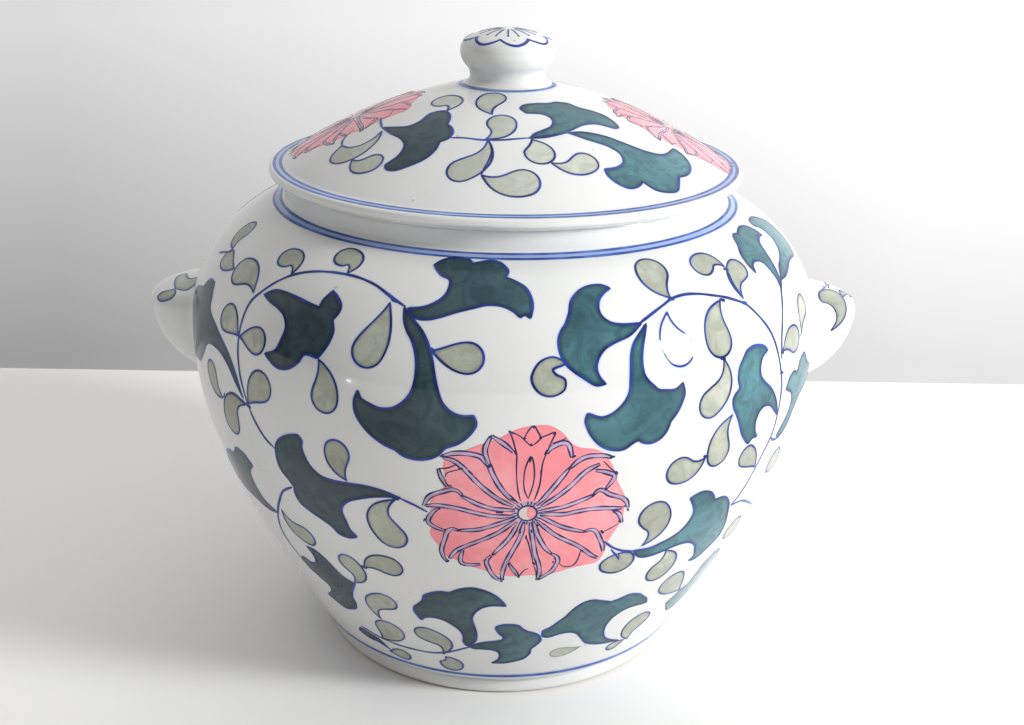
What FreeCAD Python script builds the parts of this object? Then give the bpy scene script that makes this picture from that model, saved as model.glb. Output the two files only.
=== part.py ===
import FreeCAD, Part
import math
import os

# Porcelain biscuit jar: a thrown, full-bellied jar on a turned foot ring, with a corbel-shaped
# lug luted to each side, and a domed lid whose locating flange drops into the neck.
# All sizes are in millimetres and degrees. +Z is up, the origin is the centre of the foot's
# resting face, and the lugs point along -X and +X.
#
# Each section is drawn at radius r and height z. A round stretch is an arc given by its radius
# and by where its outward normal starts and ends: 0 points straight out, 90 up and -90 down.
# A negative radius is a hollow stretch. Stretches that follow each other are tangent.

# Foot ring and underside
foot_r = 62.9
foot_width = 7.5
foot_height = 5.8
foot_round = 2.2
foot_shoulder_round = 0.9
foot_recess = 5.5
foot_recess_slope = 2.0
groove_depth = 1.0
groove_height = 1.0
base_round = 3.0

# Belly, shoulder and wall. The arcs run down and up from the widest place, and the crest's arc
# ends a small ledge outside the neck.
belly_r = 104.5
belly_z = 111.0
lower_belly_radius = 104.0
lower_belly_end = -17.5
base_radius = 226.0
base_end = -28.2
upper_belly_radius = 99.0
upper_belly_end = 5.9
shoulder_radius = 30.0
shoulder_end = 24.4
crest_end = 71.8
crest_ledge = 1.8096
wall = 4.6
floor_thick = 5.5
floor_corner_radius = 18.0

# Neck and rim
neck_r = 72.6
neck_wall = 5.0
neck_height = 6.2
neck_root_round = 1.6
neck_throat_round = 3.5
rim_round = 1.0

# Lugs
lug_axis_inset = 3.0
lug_r = 19.2
lug_z = 117.5
lug_under_radius = 30.3
lug_edge_round = 5.0
lug_top_radius = 90.0
lug_tilt = 5.0

# Lid
lid_overhang = 4.9
lid_seat_overhang = 1.3
lid_seat_round = 0.8
lid_edge_low = 1.9
lid_edge_high = 4.2
lid_edge_round = 1.2
brim_rise = 0.4
crown_radius = 85.0
crown_end = 76.0
dome_radius = 165.0
dome_end = 56.0
lid_wall = 4.8
lid_hollow_round = 6.0

# Locating flange under the lid
flange_clearance = 0.9
flange_depth = 9.0
flange_wall = 3.6
flange_round = 1.2

# Knob
knob_base_r = 15.3
knob_neck_r = 12.9
knob_neck_rise = 4.6
knob_waist_radius = 6.0
knob_foot_flare = 50.0
knob_head_flare = -52.0
knob_edge_radius = 2.8
knob_edge_end = 65.0


def normal(angle):
    """The direction of an outward normal in the half section."""
    return math.cos(math.radians(angle)), math.sin(math.radians(angle))


def at(point):
    return FreeCAD.Vector(point[0], 0, point[1])


def line(a, b):
    return Part.LineSegment(at(a), at(b)).toShape()


def arc(start, radius, first, last):
    """An arc from start, and its end point. first and last are the normal's angles."""
    out = normal(first)
    centre = (start[0] - radius * out[0], start[1] - radius * out[1])

    def on_arc(angle):
        out = normal(angle)
        return centre[0] + radius * out[0], centre[1] + radius * out[1]

    end = on_arc(last)
    edge = Part.Arc(at(start), at(on_arc((first + last) / 2)), at(end)).toShape()
    return edge, end


def arcs(start, first, stretches, inset=0.0):
    """Tangent arcs, each (radius, last angle). inset moves them in by a wall's thickness."""
    out = normal(first)
    point = (start[0] - inset * out[0], start[1] - inset * out[1])
    edges = []
    for radius, last in stretches:
        edge, point = arc(point, radius - inset, first, last)
        edges.append(edge)
        first = last
    return edges, point


def path(*points):
    """Straight runs through (r, z) points, with the corner rounded at each (r, z, radius)."""
    edges = []
    here = points[0][:2]
    for index in range(1, len(points)):
        corner = points[index][:2]
        radius = points[index][2] if len(points[index]) == 3 else 0
        if not radius:
            edges.append(line(here, corner))
            here = corner
            continue
        after = points[index + 1][:2]
        way_in = math.atan2(corner[1] - here[1], corner[0] - here[0])
        way_out = math.atan2(after[1] - corner[1], after[0] - corner[0])
        half_turn = abs(math.remainder(way_out - way_in, 2 * math.pi)) / 2
        setback = radius * math.tan(half_turn)
        depth = radius / math.cos(half_turn) - radius
        begin = (
            corner[0] - setback * math.cos(way_in),
            corner[1] - setback * math.sin(way_in),
        )
        finish = (
            corner[0] + setback * math.cos(way_out),
            corner[1] + setback * math.sin(way_out),
        )
        inward = (begin[0] + finish[0] - 2 * corner[0], begin[1] + finish[1] - 2 * corner[1])
        scale = depth / math.hypot(*inward)
        middle = (corner[0] + scale * inward[0], corner[1] + scale * inward[1])
        edges.append(line(here, begin))
        edges.append(Part.Arc(at(begin), at(middle), at(finish)).toShape())
        here = finish
    return edges


def turn(edges):
    """The solid swept by a closed half section turned once round the axis."""
    face = Part.Face(Part.Wire(Part.__sortEdges__(edges)))
    return face.revolve(FreeCAD.Vector(0, 0, 0), FreeCAD.Vector(0, 0, 1), 360)


def belly_arcs(inset):
    """The wall's arcs, and its ends at the base of the belly and the crest of the shoulder."""
    widest = (belly_r, belly_z)
    below = [(lower_belly_radius, lower_belly_end), (base_radius, base_end)]
    above = [(upper_belly_radius, upper_belly_end), (shoulder_radius, shoulder_end)]
    crest_start = arcs(widest, 0, above)[1]
    crest_width = crest_start[0] - neck_r - crest_ledge
    crest_radius = crest_width / (normal(shoulder_end)[0] - normal(crest_end)[0])
    above.append((crest_radius, crest_end))
    lower, base = arcs(widest, 0, below, inset)
    upper, crest = arcs(widest, 0, above, inset)
    return lower + upper, base, crest


def base_point(base, z):
    """Where the wall's straight base, going down from its last arc, reaches a height."""
    lean = math.radians(-base_end)
    return base[0] - (base[1] - z) * math.tan(lean), z


def neck_point(crest, r):
    """Where the shoulder, carried on from its crest, reaches a radius."""
    rise = math.radians(90 - crest_end)
    return r, crest[1] + (crest[0] - r) * math.tan(rise)


# Places that follow from the sizes above
belly, belly_base, belly_crest = belly_arcs(0)
neck_root = neck_point(belly_crest, neck_r)
rim_z = neck_root[1] + neck_height
rim_middle = (neck_r - neck_wall / 2, rim_z)
foot_middle = (foot_r - foot_width / 2, 0)
neck_in_r = neck_r - neck_wall
flange_r = neck_in_r - flange_clearance
flange_in_r = flange_r - flange_wall
lid_r = neck_r + lid_overhang
brim_z = rim_z + lid_edge_high + brim_rise
dome_arcs = [(crown_radius, crown_end), (dome_radius, dome_end)]
lid_apex_z = brim_z - arcs((0, 0), 90, dome_arcs)[1][1]


def outside_edges():
    """The jar's outer section, from the middle of its foot ring to the middle of its rim."""
    groove_r = foot_r - groove_depth
    groove_top = foot_height + groove_height
    foot = path(
        foot_middle,
        (foot_r, 0, foot_round),
        (foot_r, foot_height, foot_shoulder_round),
        (groove_r, foot_height),
        (groove_r, groove_top),
        (*base_point(belly_base, groove_top), base_round),
        belly_base,
    )
    neck = path(
        belly_crest,
        (*neck_root, neck_root_round),
        (neck_r, rim_z, rim_round),
        rim_middle,
    )
    return foot + belly + neck


def make_jar_lump():
    """The jar as a solid lump, to cut what is luted to its outside."""
    return turn(outside_edges() + path(rim_middle, (0, rim_z), (0, 0), foot_middle))


def make_jar_body():
    """Body of even wall, with a rounded floor and a shallow recess inside the foot ring."""
    wall_arcs, base, crest = belly_arcs(wall)
    floor_z = foot_recess + floor_thick
    corner_rise = floor_corner_radius * (1 + normal(base_end)[1])
    wall_foot = base_point(base, floor_z + corner_rise)
    corner, floor_edge = arc(wall_foot, floor_corner_radius, base_end, -90)
    inside = [line((0, floor_z), floor_edge), corner, line(wall_foot, base)]
    mouth = path(
        crest,
        (*neck_point(crest, neck_in_r), neck_throat_round),
        (neck_in_r, rim_z, rim_round),
        rim_middle,
    )
    recess_r = foot_r - foot_width
    under = path(
        (0, floor_z),
        (0, foot_recess),
        (recess_r - foot_recess_slope, foot_recess),
        (recess_r, 0),
        foot_middle,
    )
    return turn(outside_edges() + inside + wall_arcs + mouth + under)


def make_lug(side, jar_lump):
    """A corbel turned like a plug, tilted out a little and cut to sit on the belly."""
    nose = (lug_r, 0)
    top_share = (lug_r - lug_edge_round) / (lug_top_radius - lug_edge_round)
    top_start = math.degrees(math.acos(top_share))
    tip_angle = -math.degrees(math.acos(1 - lug_r / lug_under_radius))
    top, top_end = arcs(nose, 0, [(lug_edge_round, top_start), (lug_top_radius, 90)])
    under, tip = arcs(nose, 0, [(lug_under_radius, tip_angle)])
    plug = turn(top + under + [line(tip, top_end)])
    plug.rotate(FreeCAD.Vector(0, 0, 0), FreeCAD.Vector(0, 1, 0), lug_tilt)
    plug.translate(FreeCAD.Vector(belly_r - lug_axis_inset, 0, lug_z))
    lug = plug.cut(jar_lump)
    if side < 0:
        lug = lug.mirror(FreeCAD.Vector(0, 0, 0), FreeCAD.Vector(1, 0, 0))
    return lug


def make_lid():
    """Domed lid with a narrow brim, hollow inside the flange and flat where it seats."""
    top, brim = arcs((0, lid_apex_z), 90, dome_arcs)
    hollow_share = (
        flange_in_r
        - lid_hollow_round
        + (dome_radius - crown_radius) * normal(crown_end)[0]
    ) / (dome_radius - lid_wall - lid_hollow_round)
    hollow_end = math.degrees(math.acos(hollow_share))
    hollow_arcs = [(crown_radius, crown_end), (dome_radius, hollow_end)]
    hollow, corner_start = arcs((0, lid_apex_z), 90, hollow_arcs, lid_wall)
    corner, hollow_side = arc(corner_start, lid_hollow_round, hollow_end, 0)
    edge = path(
        brim,
        (lid_r, rim_z + lid_edge_high, lid_edge_round),
        (lid_r, rim_z + lid_edge_low, lid_edge_round),
        (neck_r + lid_seat_overhang, rim_z, lid_seat_round),
        (flange_in_r, rim_z),
        hollow_side,
    )
    axis = line((0, lid_apex_z - lid_wall), (0, lid_apex_z))
    return turn(top + edge + [corner] + hollow + [axis])


def make_lid_flange():
    """The ring that drops into the neck and keeps the lid centred."""
    low_z = rim_z - flange_depth
    return turn(
        path(
            (flange_in_r, rim_z),
            (flange_in_r, low_z, flange_round),
            (flange_r, low_z, flange_round),
            (flange_r, rim_z),
            (flange_in_r, rim_z),
        )
    )


def make_lid_knob():
    """Waisted knob with a gently domed top, seated on the crown of the lid."""
    neck = (knob_neck_r, lid_apex_z + knob_neck_rise)
    foot_arc, foot = arc(neck, -knob_waist_radius, 0, knob_foot_flare)
    head_arc, head = arc(neck, -knob_waist_radius, 0, knob_head_flare)
    edge, edge_end = arc(head, knob_edge_radius, knob_head_flare, knob_edge_end)
    top_radius = edge_end[0] / normal(knob_edge_end)[0]
    top, top_end = arc(edge_end, top_radius, knob_edge_end, 90)
    seat_angle = math.degrees(math.acos(knob_base_r / crown_radius))
    seat, seat_edge = arc((0, lid_apex_z), crown_radius, 90, seat_angle)
    side = path(seat_edge, (knob_base_r, foot[1]), foot)
    axis = line(top_end, (0, lid_apex_z))
    return turn([seat] + side + [foot_arc, head_arc, edge, top, axis])


def main():
    jar_lump = make_jar_lump()
    parts = {
        "jar_body": make_jar_body(),
        "left_lug": make_lug(-1, jar_lump),
        "right_lug": make_lug(1, jar_lump),
        "lid": make_lid(),
        "lid_flange": make_lid_flange(),
        "lid_knob": make_lid_knob(),
    }
    os.makedirs("parts", exist_ok=True)
    for name, shape in parts.items():
        shape.exportStep(os.path.join("parts", name + ".step"))
        print(name, "solids", len(shape.Solids), "volume", round(shape.Volume), "mm3")


main()
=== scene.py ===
import math

import bmesh
import bpy
import numpy as np
from mathutils import Matrix, Vector
from mathutils.bvhtree import BVHTree
from mathutils.geometry import delaunay_2d_cdt

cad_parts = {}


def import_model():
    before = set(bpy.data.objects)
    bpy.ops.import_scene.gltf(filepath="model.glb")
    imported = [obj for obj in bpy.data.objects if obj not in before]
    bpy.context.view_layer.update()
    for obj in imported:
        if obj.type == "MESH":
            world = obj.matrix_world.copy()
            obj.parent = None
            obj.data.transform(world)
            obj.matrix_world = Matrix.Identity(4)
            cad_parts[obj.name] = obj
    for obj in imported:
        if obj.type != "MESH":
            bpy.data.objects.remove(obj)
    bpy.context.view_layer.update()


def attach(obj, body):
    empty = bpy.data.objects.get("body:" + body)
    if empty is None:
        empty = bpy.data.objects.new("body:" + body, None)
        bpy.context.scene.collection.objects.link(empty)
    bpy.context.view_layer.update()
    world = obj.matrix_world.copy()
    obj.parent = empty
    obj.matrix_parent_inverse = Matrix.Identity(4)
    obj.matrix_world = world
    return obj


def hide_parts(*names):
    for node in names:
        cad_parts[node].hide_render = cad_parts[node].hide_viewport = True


# Porcelain biscuit jar with a painted chrysanthemum scroll. Sizes are in millimetres and degrees,
# turned into metres where a mesh is made. Azimuth 0 is the front, -Y, and grows towards +X.

MM = 0.001

# The jar's driving sizes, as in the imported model
FOOT_R, FOOT_WIDTH, FOOT_HEIGHT, FOOT_ROUND, FOOT_SHOULDER_ROUND = 62.9, 7.5, 5.8, 2.2, 0.9
FOOT_RECESS, FOOT_RECESS_SLOPE, GROOVE_DEPTH, GROOVE_HEIGHT, BASE_ROUND = 5.5, 2.0, 1.0, 1.0, 3.0
BELLY_R, BELLY_Z, BASE_END, CREST_END = 104.5, 111.0, -28.2, 71.8
BELOW_WIDEST = [(104.0, -17.5), (226.0, BASE_END)]
ABOVE_WIDEST = [(99.0, 5.9), (30.0, 24.4), (45.2, CREST_END)]
WALL, FLOOR_THICK, FLOOR_CORNER_RADIUS = 4.6, 5.5, 18.0
NECK_R, NECK_WALL, NECK_HEIGHT, NECK_ROOT_ROUND, NECK_THROAT_ROUND = 72.6, 5.0, 6.2, 1.6, 3.5
RIM_ROUND = 1.0
LUG_INSET, LUG_R, LUG_Z, LUG_UNDER, LUG_EDGE, LUG_TOP, LUG_TILT = 3.0, 19.2, 117.5, 30.3, 5.0, 90.0, 5.0
LUG_FILLET, LUG_SUNK = 2.2, 1.2
LID_OVERHANG, LID_SEAT_OVERHANG, LID_SEAT_ROUND = 4.9, 1.3, 0.8
LID_EDGE_LOW, LID_EDGE_HIGH, LID_EDGE_ROUND, BRIM_RISE = 1.9, 4.2, 1.2, 0.4
DOME = [(85.0, 76.0), (165.0, 56.0)]
LID_WALL, LID_HOLLOW_ROUND = 4.8, 6.0
FLANGE_CLEARANCE, FLANGE_DEPTH, FLANGE_WALL, FLANGE_ROUND = 0.9, 9.0, 3.6, 1.2
# The knob as the photograph shows it, a round bun on a low waist
KNOB_WAIST_R, KNOB_WAIST_RISE, KNOB_FOOT_BEND, KNOB_FOOT_END = 12.2, 1.6, 2.4, 85.0
KNOB_UNDER_BEND, KNOB_UNDER_END = 4.0, -45.0
KNOB_BUN = [(7.0, 0.0), (4.6, 66.0)]

# How the painting lies on the glaze, and how fine its meshes are
HALO_LIFT, WASH_LIFT, VEIN_LIFT, LINE_LIFT, SUNK = 0.015, 0.03, 0.045, 0.06, 0.25
LINE_STEP, FILL_STEP = 0.55, 1.1
LATHE_STEPS = 288

# The camera, solved from the photograph, and the stage around the jar
CAMERA_AT = (0.0, -441.3, 263.0)
CAMERA_PITCH, CAMERA_YAW, CAMERA_ROLL = 20.99, 0.418, 1.083
LENS, SENSOR = 47.46, 36.0
TABLE_HALF_WIDTH, TABLE_FRONT, TABLE_BACK = 1600, -1200, 224.0
TABLE_COLOUR, TABLE_ROUGHNESS = (0.93, 0.92, 0.905, 1), 0.5
WINDOW = {"at": (1330, -600, 740), "aim": (70, -80, 130), "size": (300, 400), "power": 20.0,
          "colour": (0.975, 0.99, 1.0)}
FAR_WINDOW = {"at": (-1154, -945, 70), "aim": (-40, -96, 127), "size": (60, 90), "power": 0.25}
# How bright the sky is at the right and overhead
ROOM_RIGHT, ROOM_ABOVE = 0.45, 0.66
# How bright the wall is: from one direction's share to another's, and its brightness there
WALL_BY_X = (-0.31, 0.29, 0.0, 0.42)
WALL_BY_Z = (-0.34, -0.12, 0.42, 0.76)
# Where the wall begins, by direction, and how low the surroundings below the horizon count as wall
WALL_FROM_Y, LEVEL_TO_Z = 0.15, 0.04
PICTURE_GAMMA = 0.8

SHARP = True


# Half sections


def normal(angle):
    return math.cos(math.radians(angle)), math.sin(math.radians(angle))


def arc(start, radius, first, last, step=1.2):
    """Points after start along an arc whose outward normal turns from first to last."""
    out = normal(first)
    centre = (start[0] - radius * out[0], start[1] - radius * out[1])
    length = abs(radius * math.radians(last - first))
    count = max(6, math.ceil(length / step))
    points = []
    for k in range(1, count + 1):
        out = normal(first + (last - first) * k / count)
        points.append((centre[0] + radius * out[0], centre[1] + radius * out[1]))
    return points


def arcs(start, first, stretches, inset=0.0):
    """Points along tangent arcs, each (radius, last angle), from start moved in by inset."""
    out = normal(first)
    points = [(start[0] - inset * out[0], start[1] - inset * out[1])]
    for radius, last in stretches:
        points += arc(points[-1], radius - inset, first, last)
        first = last
    return points


def path(*points, step=1.5):
    """Straight runs through (r, z) points, with the corner rounded at each (r, z, radius)."""
    way = [points[0][:2]]
    for index in range(1, len(points)):
        corner = points[index][:2]
        radius = points[index][2] if len(points[index]) == 3 else 0
        here = way[-1]
        if radius:
            after = points[index + 1][:2]
            way_in = math.atan2(corner[1] - here[1], corner[0] - here[0])
            way_out = math.atan2(after[1] - corner[1], after[0] - corner[0])
            turn = math.remainder(way_out - way_in, 2 * math.pi)
            setback = radius * math.tan(abs(turn) / 2)
            begin = (corner[0] - setback * math.cos(way_in), corner[1] - setback * math.sin(way_in))
            side = math.copysign(1, turn)
            centre = (
                begin[0] - side * radius * math.sin(way_in),
                begin[1] + side * radius * math.cos(way_in),
            )
            bend = []
            for k in range(7):
                angle = way_in + turn * k / 6
                bend.append(
                    (
                        centre[0] + side * radius * math.sin(angle),
                        centre[1] - side * radius * math.cos(angle),
                    )
                )
        else:
            bend = [corner]
        count = math.ceil(math.dist(here, bend[0]) / step)
        for k in range(1, count):
            way.append(tuple(h + (b - h) * k / count for h, b in zip(here, bend[0])))
        way += bend
    return way


def base_point(base, z):
    lean = math.radians(-BASE_END)
    return base[0] - (base[1] - z) * math.tan(lean), z


def neck_point(crest, r):
    rise = math.radians(90 - CREST_END)
    return r, crest[1] + (crest[0] - r) * math.tan(rise)


WIDEST = (BELLY_R, BELLY_Z)
BELOW = arcs(WIDEST, 0, BELOW_WIDEST)
ABOVE = arcs(WIDEST, 0, ABOVE_WIDEST)
NECK_ROOT = neck_point(ABOVE[-1], NECK_R)
RIM_Z = NECK_ROOT[1] + NECK_HEIGHT
GROOVE_TOP = FOOT_HEIGHT + GROOVE_HEIGHT
BASE_CORNER = base_point(BELOW[-1], GROOVE_TOP)
NECK_IN_R = NECK_R - NECK_WALL
FLANGE_R = NECK_IN_R - FLANGE_CLEARANCE
FLANGE_IN_R = FLANGE_R - FLANGE_WALL
LID_R = NECK_R + LID_OVERHANG
BRIM_Z = RIM_Z + LID_EDGE_HIGH + BRIM_RISE
LID_APEX_Z = BRIM_Z - arcs((0, 0), 90, DOME)[-1][1]


def body_section():
    """The jar's whole section, outside and inside, as a closed loop."""
    foot_middle = (FOOT_R - FOOT_WIDTH / 2, 0)
    rim_middle = (NECK_R - NECK_WALL / 2, RIM_Z)
    groove_r = FOOT_R - GROOVE_DEPTH
    foot = path(
        foot_middle,
        (FOOT_R, 0, FOOT_ROUND),
        (FOOT_R, FOOT_HEIGHT, FOOT_SHOULDER_ROUND),
        (groove_r, FOOT_HEIGHT, 0.3),
        (groove_r, GROOVE_TOP, 0.3),
        (*BASE_CORNER, BASE_ROUND),
        BELOW[-1],
    )
    neck = path(
        ABOVE[-1],
        (*NECK_ROOT, NECK_ROOT_ROUND),
        (NECK_R, RIM_Z, RIM_ROUND),
        rim_middle,
    )
    outside = foot + BELOW[-2::-1] + ABOVE[1:] + neck[1:]
    below = arcs(WIDEST, 0, BELOW_WIDEST, WALL)
    above = arcs(WIDEST, 0, ABOVE_WIDEST, WALL)
    mouth = path(
        rim_middle,
        (NECK_IN_R, RIM_Z, RIM_ROUND),
        (*neck_point(above[-1], NECK_IN_R), NECK_THROAT_ROUND),
        above[-1],
    )
    floor_z = FOOT_RECESS + FLOOR_THICK
    corner_rise = FLOOR_CORNER_RADIUS * (1 + normal(BASE_END)[1])
    wall_foot = base_point(below[-1], floor_z + corner_rise)
    straight = path(below[-1], wall_foot)
    corner = arc(wall_foot, FLOOR_CORNER_RADIUS, BASE_END, -90)
    recess_r = FOOT_R - FOOT_WIDTH
    under = path(
        (0, FOOT_RECESS),
        (recess_r - FOOT_RECESS_SLOPE, FOOT_RECESS, 1.0),
        (recess_r, 0, 0.6),
        foot_middle,
        step=4,
    )
    floor = path(corner[-1], (0, floor_z), step=4)
    # The inside is hardly seen, so every second ring of it is enough
    walls = (above[:0:-1] + below)[2:-1:2]
    inside = mouth[1:] + walls + straight + corner + floor[1:]
    return outside + inside + under[:-1]


def lid_section():
    """The lid's section from its apex out, round the edge, and back inside to the axis."""
    top = arcs((0, LID_APEX_Z), 90, DOME)
    gain = (DOME[1][0] - DOME[0][0]) * normal(DOME[0][1])[0]
    share = (FLANGE_IN_R - LID_HOLLOW_ROUND + gain) / (DOME[1][0] - LID_WALL - LID_HOLLOW_ROUND)
    hollow_end = math.degrees(math.acos(share))
    hollow = arcs((0, LID_APEX_Z), 90, [DOME[0], (DOME[1][0], hollow_end)], LID_WALL)
    corner = arc(hollow[-1], LID_HOLLOW_ROUND, hollow_end, 0)
    edge = path(
        top[-1],
        (LID_R, RIM_Z + LID_EDGE_HIGH, LID_EDGE_ROUND),
        (LID_R, RIM_Z + LID_EDGE_LOW, LID_EDGE_ROUND),
        (NECK_R + LID_SEAT_OVERHANG, RIM_Z, LID_SEAT_ROUND),
        (FLANGE_IN_R, RIM_Z, 0.3),
        corner[-1],
    )
    return top + edge[1:-1] + corner[::-1] + hollow[::-1]


def flange_section():
    low_z = RIM_Z - FLANGE_DEPTH
    return path(
        (FLANGE_IN_R, RIM_Z),
        (FLANGE_IN_R, low_z, FLANGE_ROUND),
        (FLANGE_R, low_z, FLANGE_ROUND),
        (FLANGE_R, RIM_Z),
        (FLANGE_IN_R, RIM_Z),
    )[:-1]


def knob_section():
    """The knob's section from its top out, down the waist and back under its seat."""
    waist = (KNOB_WAIST_R, LID_APEX_Z + KNOB_WAIST_RISE)
    foot = arc(waist, -KNOB_FOOT_BEND, 0, KNOB_FOOT_END, 0.3)
    under = arc(waist, -KNOB_UNDER_BEND, 0, KNOB_UNDER_END, 0.3)
    bun = [under[-1]]
    first = KNOB_UNDER_END
    for radius, last in KNOB_BUN:
        bun += arc(bun[-1], radius, first, last, 0.4)
        first = last
    top = arc(bun[-1], bun[-1][0] / normal(first)[0], first, 90, 0.6)
    seat_angle = math.degrees(math.acos(foot[-1][0] / DOME[0][0]))
    seat = arc((0, LID_APEX_Z), DOME[0][0], 90, seat_angle)
    outside = top[::-1] + bun[:0:-1] + under[::-1] + [waist] + foot + seat[::-1]
    return outside + [(0, LID_APEX_Z)]


def lug_section():
    """The plug that each lug is made from, from its tip round to the middle of its top."""
    share = (LUG_R - LUG_EDGE) / (LUG_TOP - LUG_EDGE)
    top_start = math.degrees(math.acos(share))
    tip_angle = -math.degrees(math.acos(1 - LUG_R / LUG_UNDER))
    under = arc((LUG_R, 0), LUG_UNDER, 0, tip_angle, 0.4)
    edge = arc((LUG_R, 0), LUG_EDGE, 0, top_start, 0.4)
    top = arc(edge[-1], LUG_TOP, top_start, 90, 0.4)
    return under[::-1] + [(LUG_R, 0)] + edge + top


# Meshes


def make_mesh(name, points, faces, normals=None):
    mesh = bpy.data.meshes.new(name)
    mesh.from_pydata((np.asarray(points) * MM).tolist(), [], faces)
    mesh.update()
    mesh.polygons.foreach_set("use_smooth", [True] * len(mesh.polygons))
    if normals is not None:
        mesh.normals_split_custom_set_from_vertices(np.asarray(normals).tolist())
    piece = bpy.data.objects.new(name, mesh)
    bpy.context.scene.collection.objects.link(piece)
    return piece


def lathe(section, steps=LATHE_STEPS):
    """Points and faces of a section turned round the axis, with its axis points as poles."""
    points, faces, rings = [], [], []
    for r, z in section:
        if r < 1e-6:
            rings.append([len(points)])
            points.append((0, 0, z))
            continue
        rings.append(range(len(points), len(points) + steps))
        for k in range(steps):
            angle = 2 * math.pi * k / steps
            points.append((r * math.sin(angle), -r * math.cos(angle), z))
    closed = all(len(ring) > 1 for ring in (rings[0], rings[-1]))
    pairs = list(zip(rings, rings[1:]))
    if closed:
        pairs.append((rings[-1], rings[0]))
    for low, high in pairs:
        for k in range(steps):
            after = (k + 1) % steps
            if len(low) == 1 and len(high) == 1:
                break
            if len(low) == 1:
                faces.append((low[0], high[after], high[k]))
            elif len(high) == 1:
                faces.append((low[k], low[after], high[0]))
            else:
                faces.append((low[k], low[after], high[after], high[k]))
    return points, faces


def make_lug(side):
    """A plug turned, tilted and pressed on to the wall, with a soft fillet where it joins."""
    points, faces = lathe(lug_section(), 160)
    points = np.array(points)
    around = points / np.maximum(np.hypot(points[:, 0], points[:, 1]), 1e-6)[:, None]
    around[:, 2] = 0
    tilt = math.radians(LUG_TILT)
    turn = np.array(
        [[math.cos(tilt), 0, math.sin(tilt)], [0, 1, 0], [-math.sin(tilt), 0, math.cos(tilt)]]
    )
    points = points @ turn.T + (BELLY_R - LUG_INSET, 0, LUG_Z)
    around = around @ turn.T
    for _ in range(2):
        wall_r, wall_normal_r, wall_normal_z = wall_at_height(points[:, 2])
        r = np.hypot(points[:, 0], points[:, 1])
        from_axis = np.stack([points[:, 0] / r, points[:, 1] / r, np.zeros(len(r))], 1)
        wall_normal = from_axis * wall_normal_r[:, None]
        wall_normal[:, 2] = wall_normal_z
        away = (r - wall_r) * wall_normal_r
        points += wall_normal * np.maximum(-LUG_SUNK - away, 0)[:, None]
    flare = np.clip(1 - away / LUG_FILLET, 0, 1)
    flare = LUG_FILLET * (1 - np.sqrt(1 - flare**2))
    along = around - wall_normal * (around * wall_normal).sum(1)[:, None]
    along /= np.maximum(np.linalg.norm(along, axis=1), 1e-6)[:, None]
    points += along * flare[:, None]
    if side < 0:
        points[:, 0] *= -1
        faces = [face[::-1] for face in faces]
    return points, faces


# Surfaces that are painted. Each turns places into points and normals.


def section_table(section):
    """Places along a section with their length run and outward normals, as arrays."""
    points = np.array(section)
    step = np.hypot(*np.diff(points, axis=0).T)
    run = np.concatenate([[0], np.cumsum(step)])
    way = np.gradient(points, run, axis=0)
    way /= np.hypot(*way.T)[:, None]
    return run, points[:, 0], points[:, 1], way[:, 1], -way[:, 0]


OUTSIDE = path(BASE_CORNER, BELOW[-1]) + BELOW[-2::-1] + ABOVE[1:] + [NECK_ROOT]
RUN, RUN_R, RUN_Z, RUN_NORMAL_R, RUN_NORMAL_Z = section_table(OUTSIDE)
RUN = RUN - np.interp(BELLY_Z, RUN_Z, RUN)


def wall_at_height(z):
    return tuple(np.interp(z, RUN_Z, values) for values in (RUN_R, RUN_NORMAL_R, RUN_NORMAL_Z))


class Turned:
    """A turned surface. table holds a place's key, radius, height and normal along its section."""

    scale = 1.0

    def __init__(self, table):
        self.table = table
        self.section = np.stack(table[1:3], 1)

    def lay(self, keys, angle):
        """Points and normals for keys of the table and angles in radians."""
        r, z, normal_r, normal_z = (np.interp(keys, self.table[0], v) for v in self.table[1:])
        across = np.stack([np.sin(angle), -np.cos(angle)], -1)
        points = np.concatenate([across * r[:, None], z[:, None]], 1)
        normals = np.concatenate([across * normal_r[:, None], normal_z[:, None]], 1)
        return points, normals

    def settle(self, points):
        """The nearest points on the surface, and their normals."""
        flat = np.stack([np.hypot(points[:, 0], points[:, 1]), points[:, 2]], 1)
        starts = self.section[:-1]
        way = np.diff(self.section, axis=0)
        share = ((flat[:, None] - starts) * way).sum(2) / (way**2).sum(1)
        share = np.clip(share, 0, 1)
        away = np.linalg.norm(flat[:, None] - starts - share[..., None] * way, axis=2)
        nearest = away.argmin(1)
        share = share[np.arange(len(flat)), nearest]
        keys = self.table[0][nearest] + share * np.diff(self.table[0])[nearest]
        return self.lay(keys, np.arctan2(points[:, 0], -points[:, 1]))


class Wall(Turned):
    """The jar's outside. Places are (azimuth, run), and run is 0 at the widest place."""

    scale = 1.8

    def __init__(self):
        super().__init__((RUN, RUN_R, RUN_Z, RUN_NORMAL_R, RUN_NORMAL_Z))

    def at(self, places):
        return self.lay(places[:, 1], np.radians(places[:, 0]))


class Plan(Turned):
    """A turned top. Places are (x, y) as seen from above."""

    def __init__(self, section):
        _, r, z, normal_r, normal_z = section_table(section)
        super().__init__((r, r, z, -normal_r, -normal_z))

    def at(self, places):
        angle = np.arctan2(places[:, 0], -places[:, 1])
        return self.lay(np.hypot(places[:, 0], places[:, 1]), angle)


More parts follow.
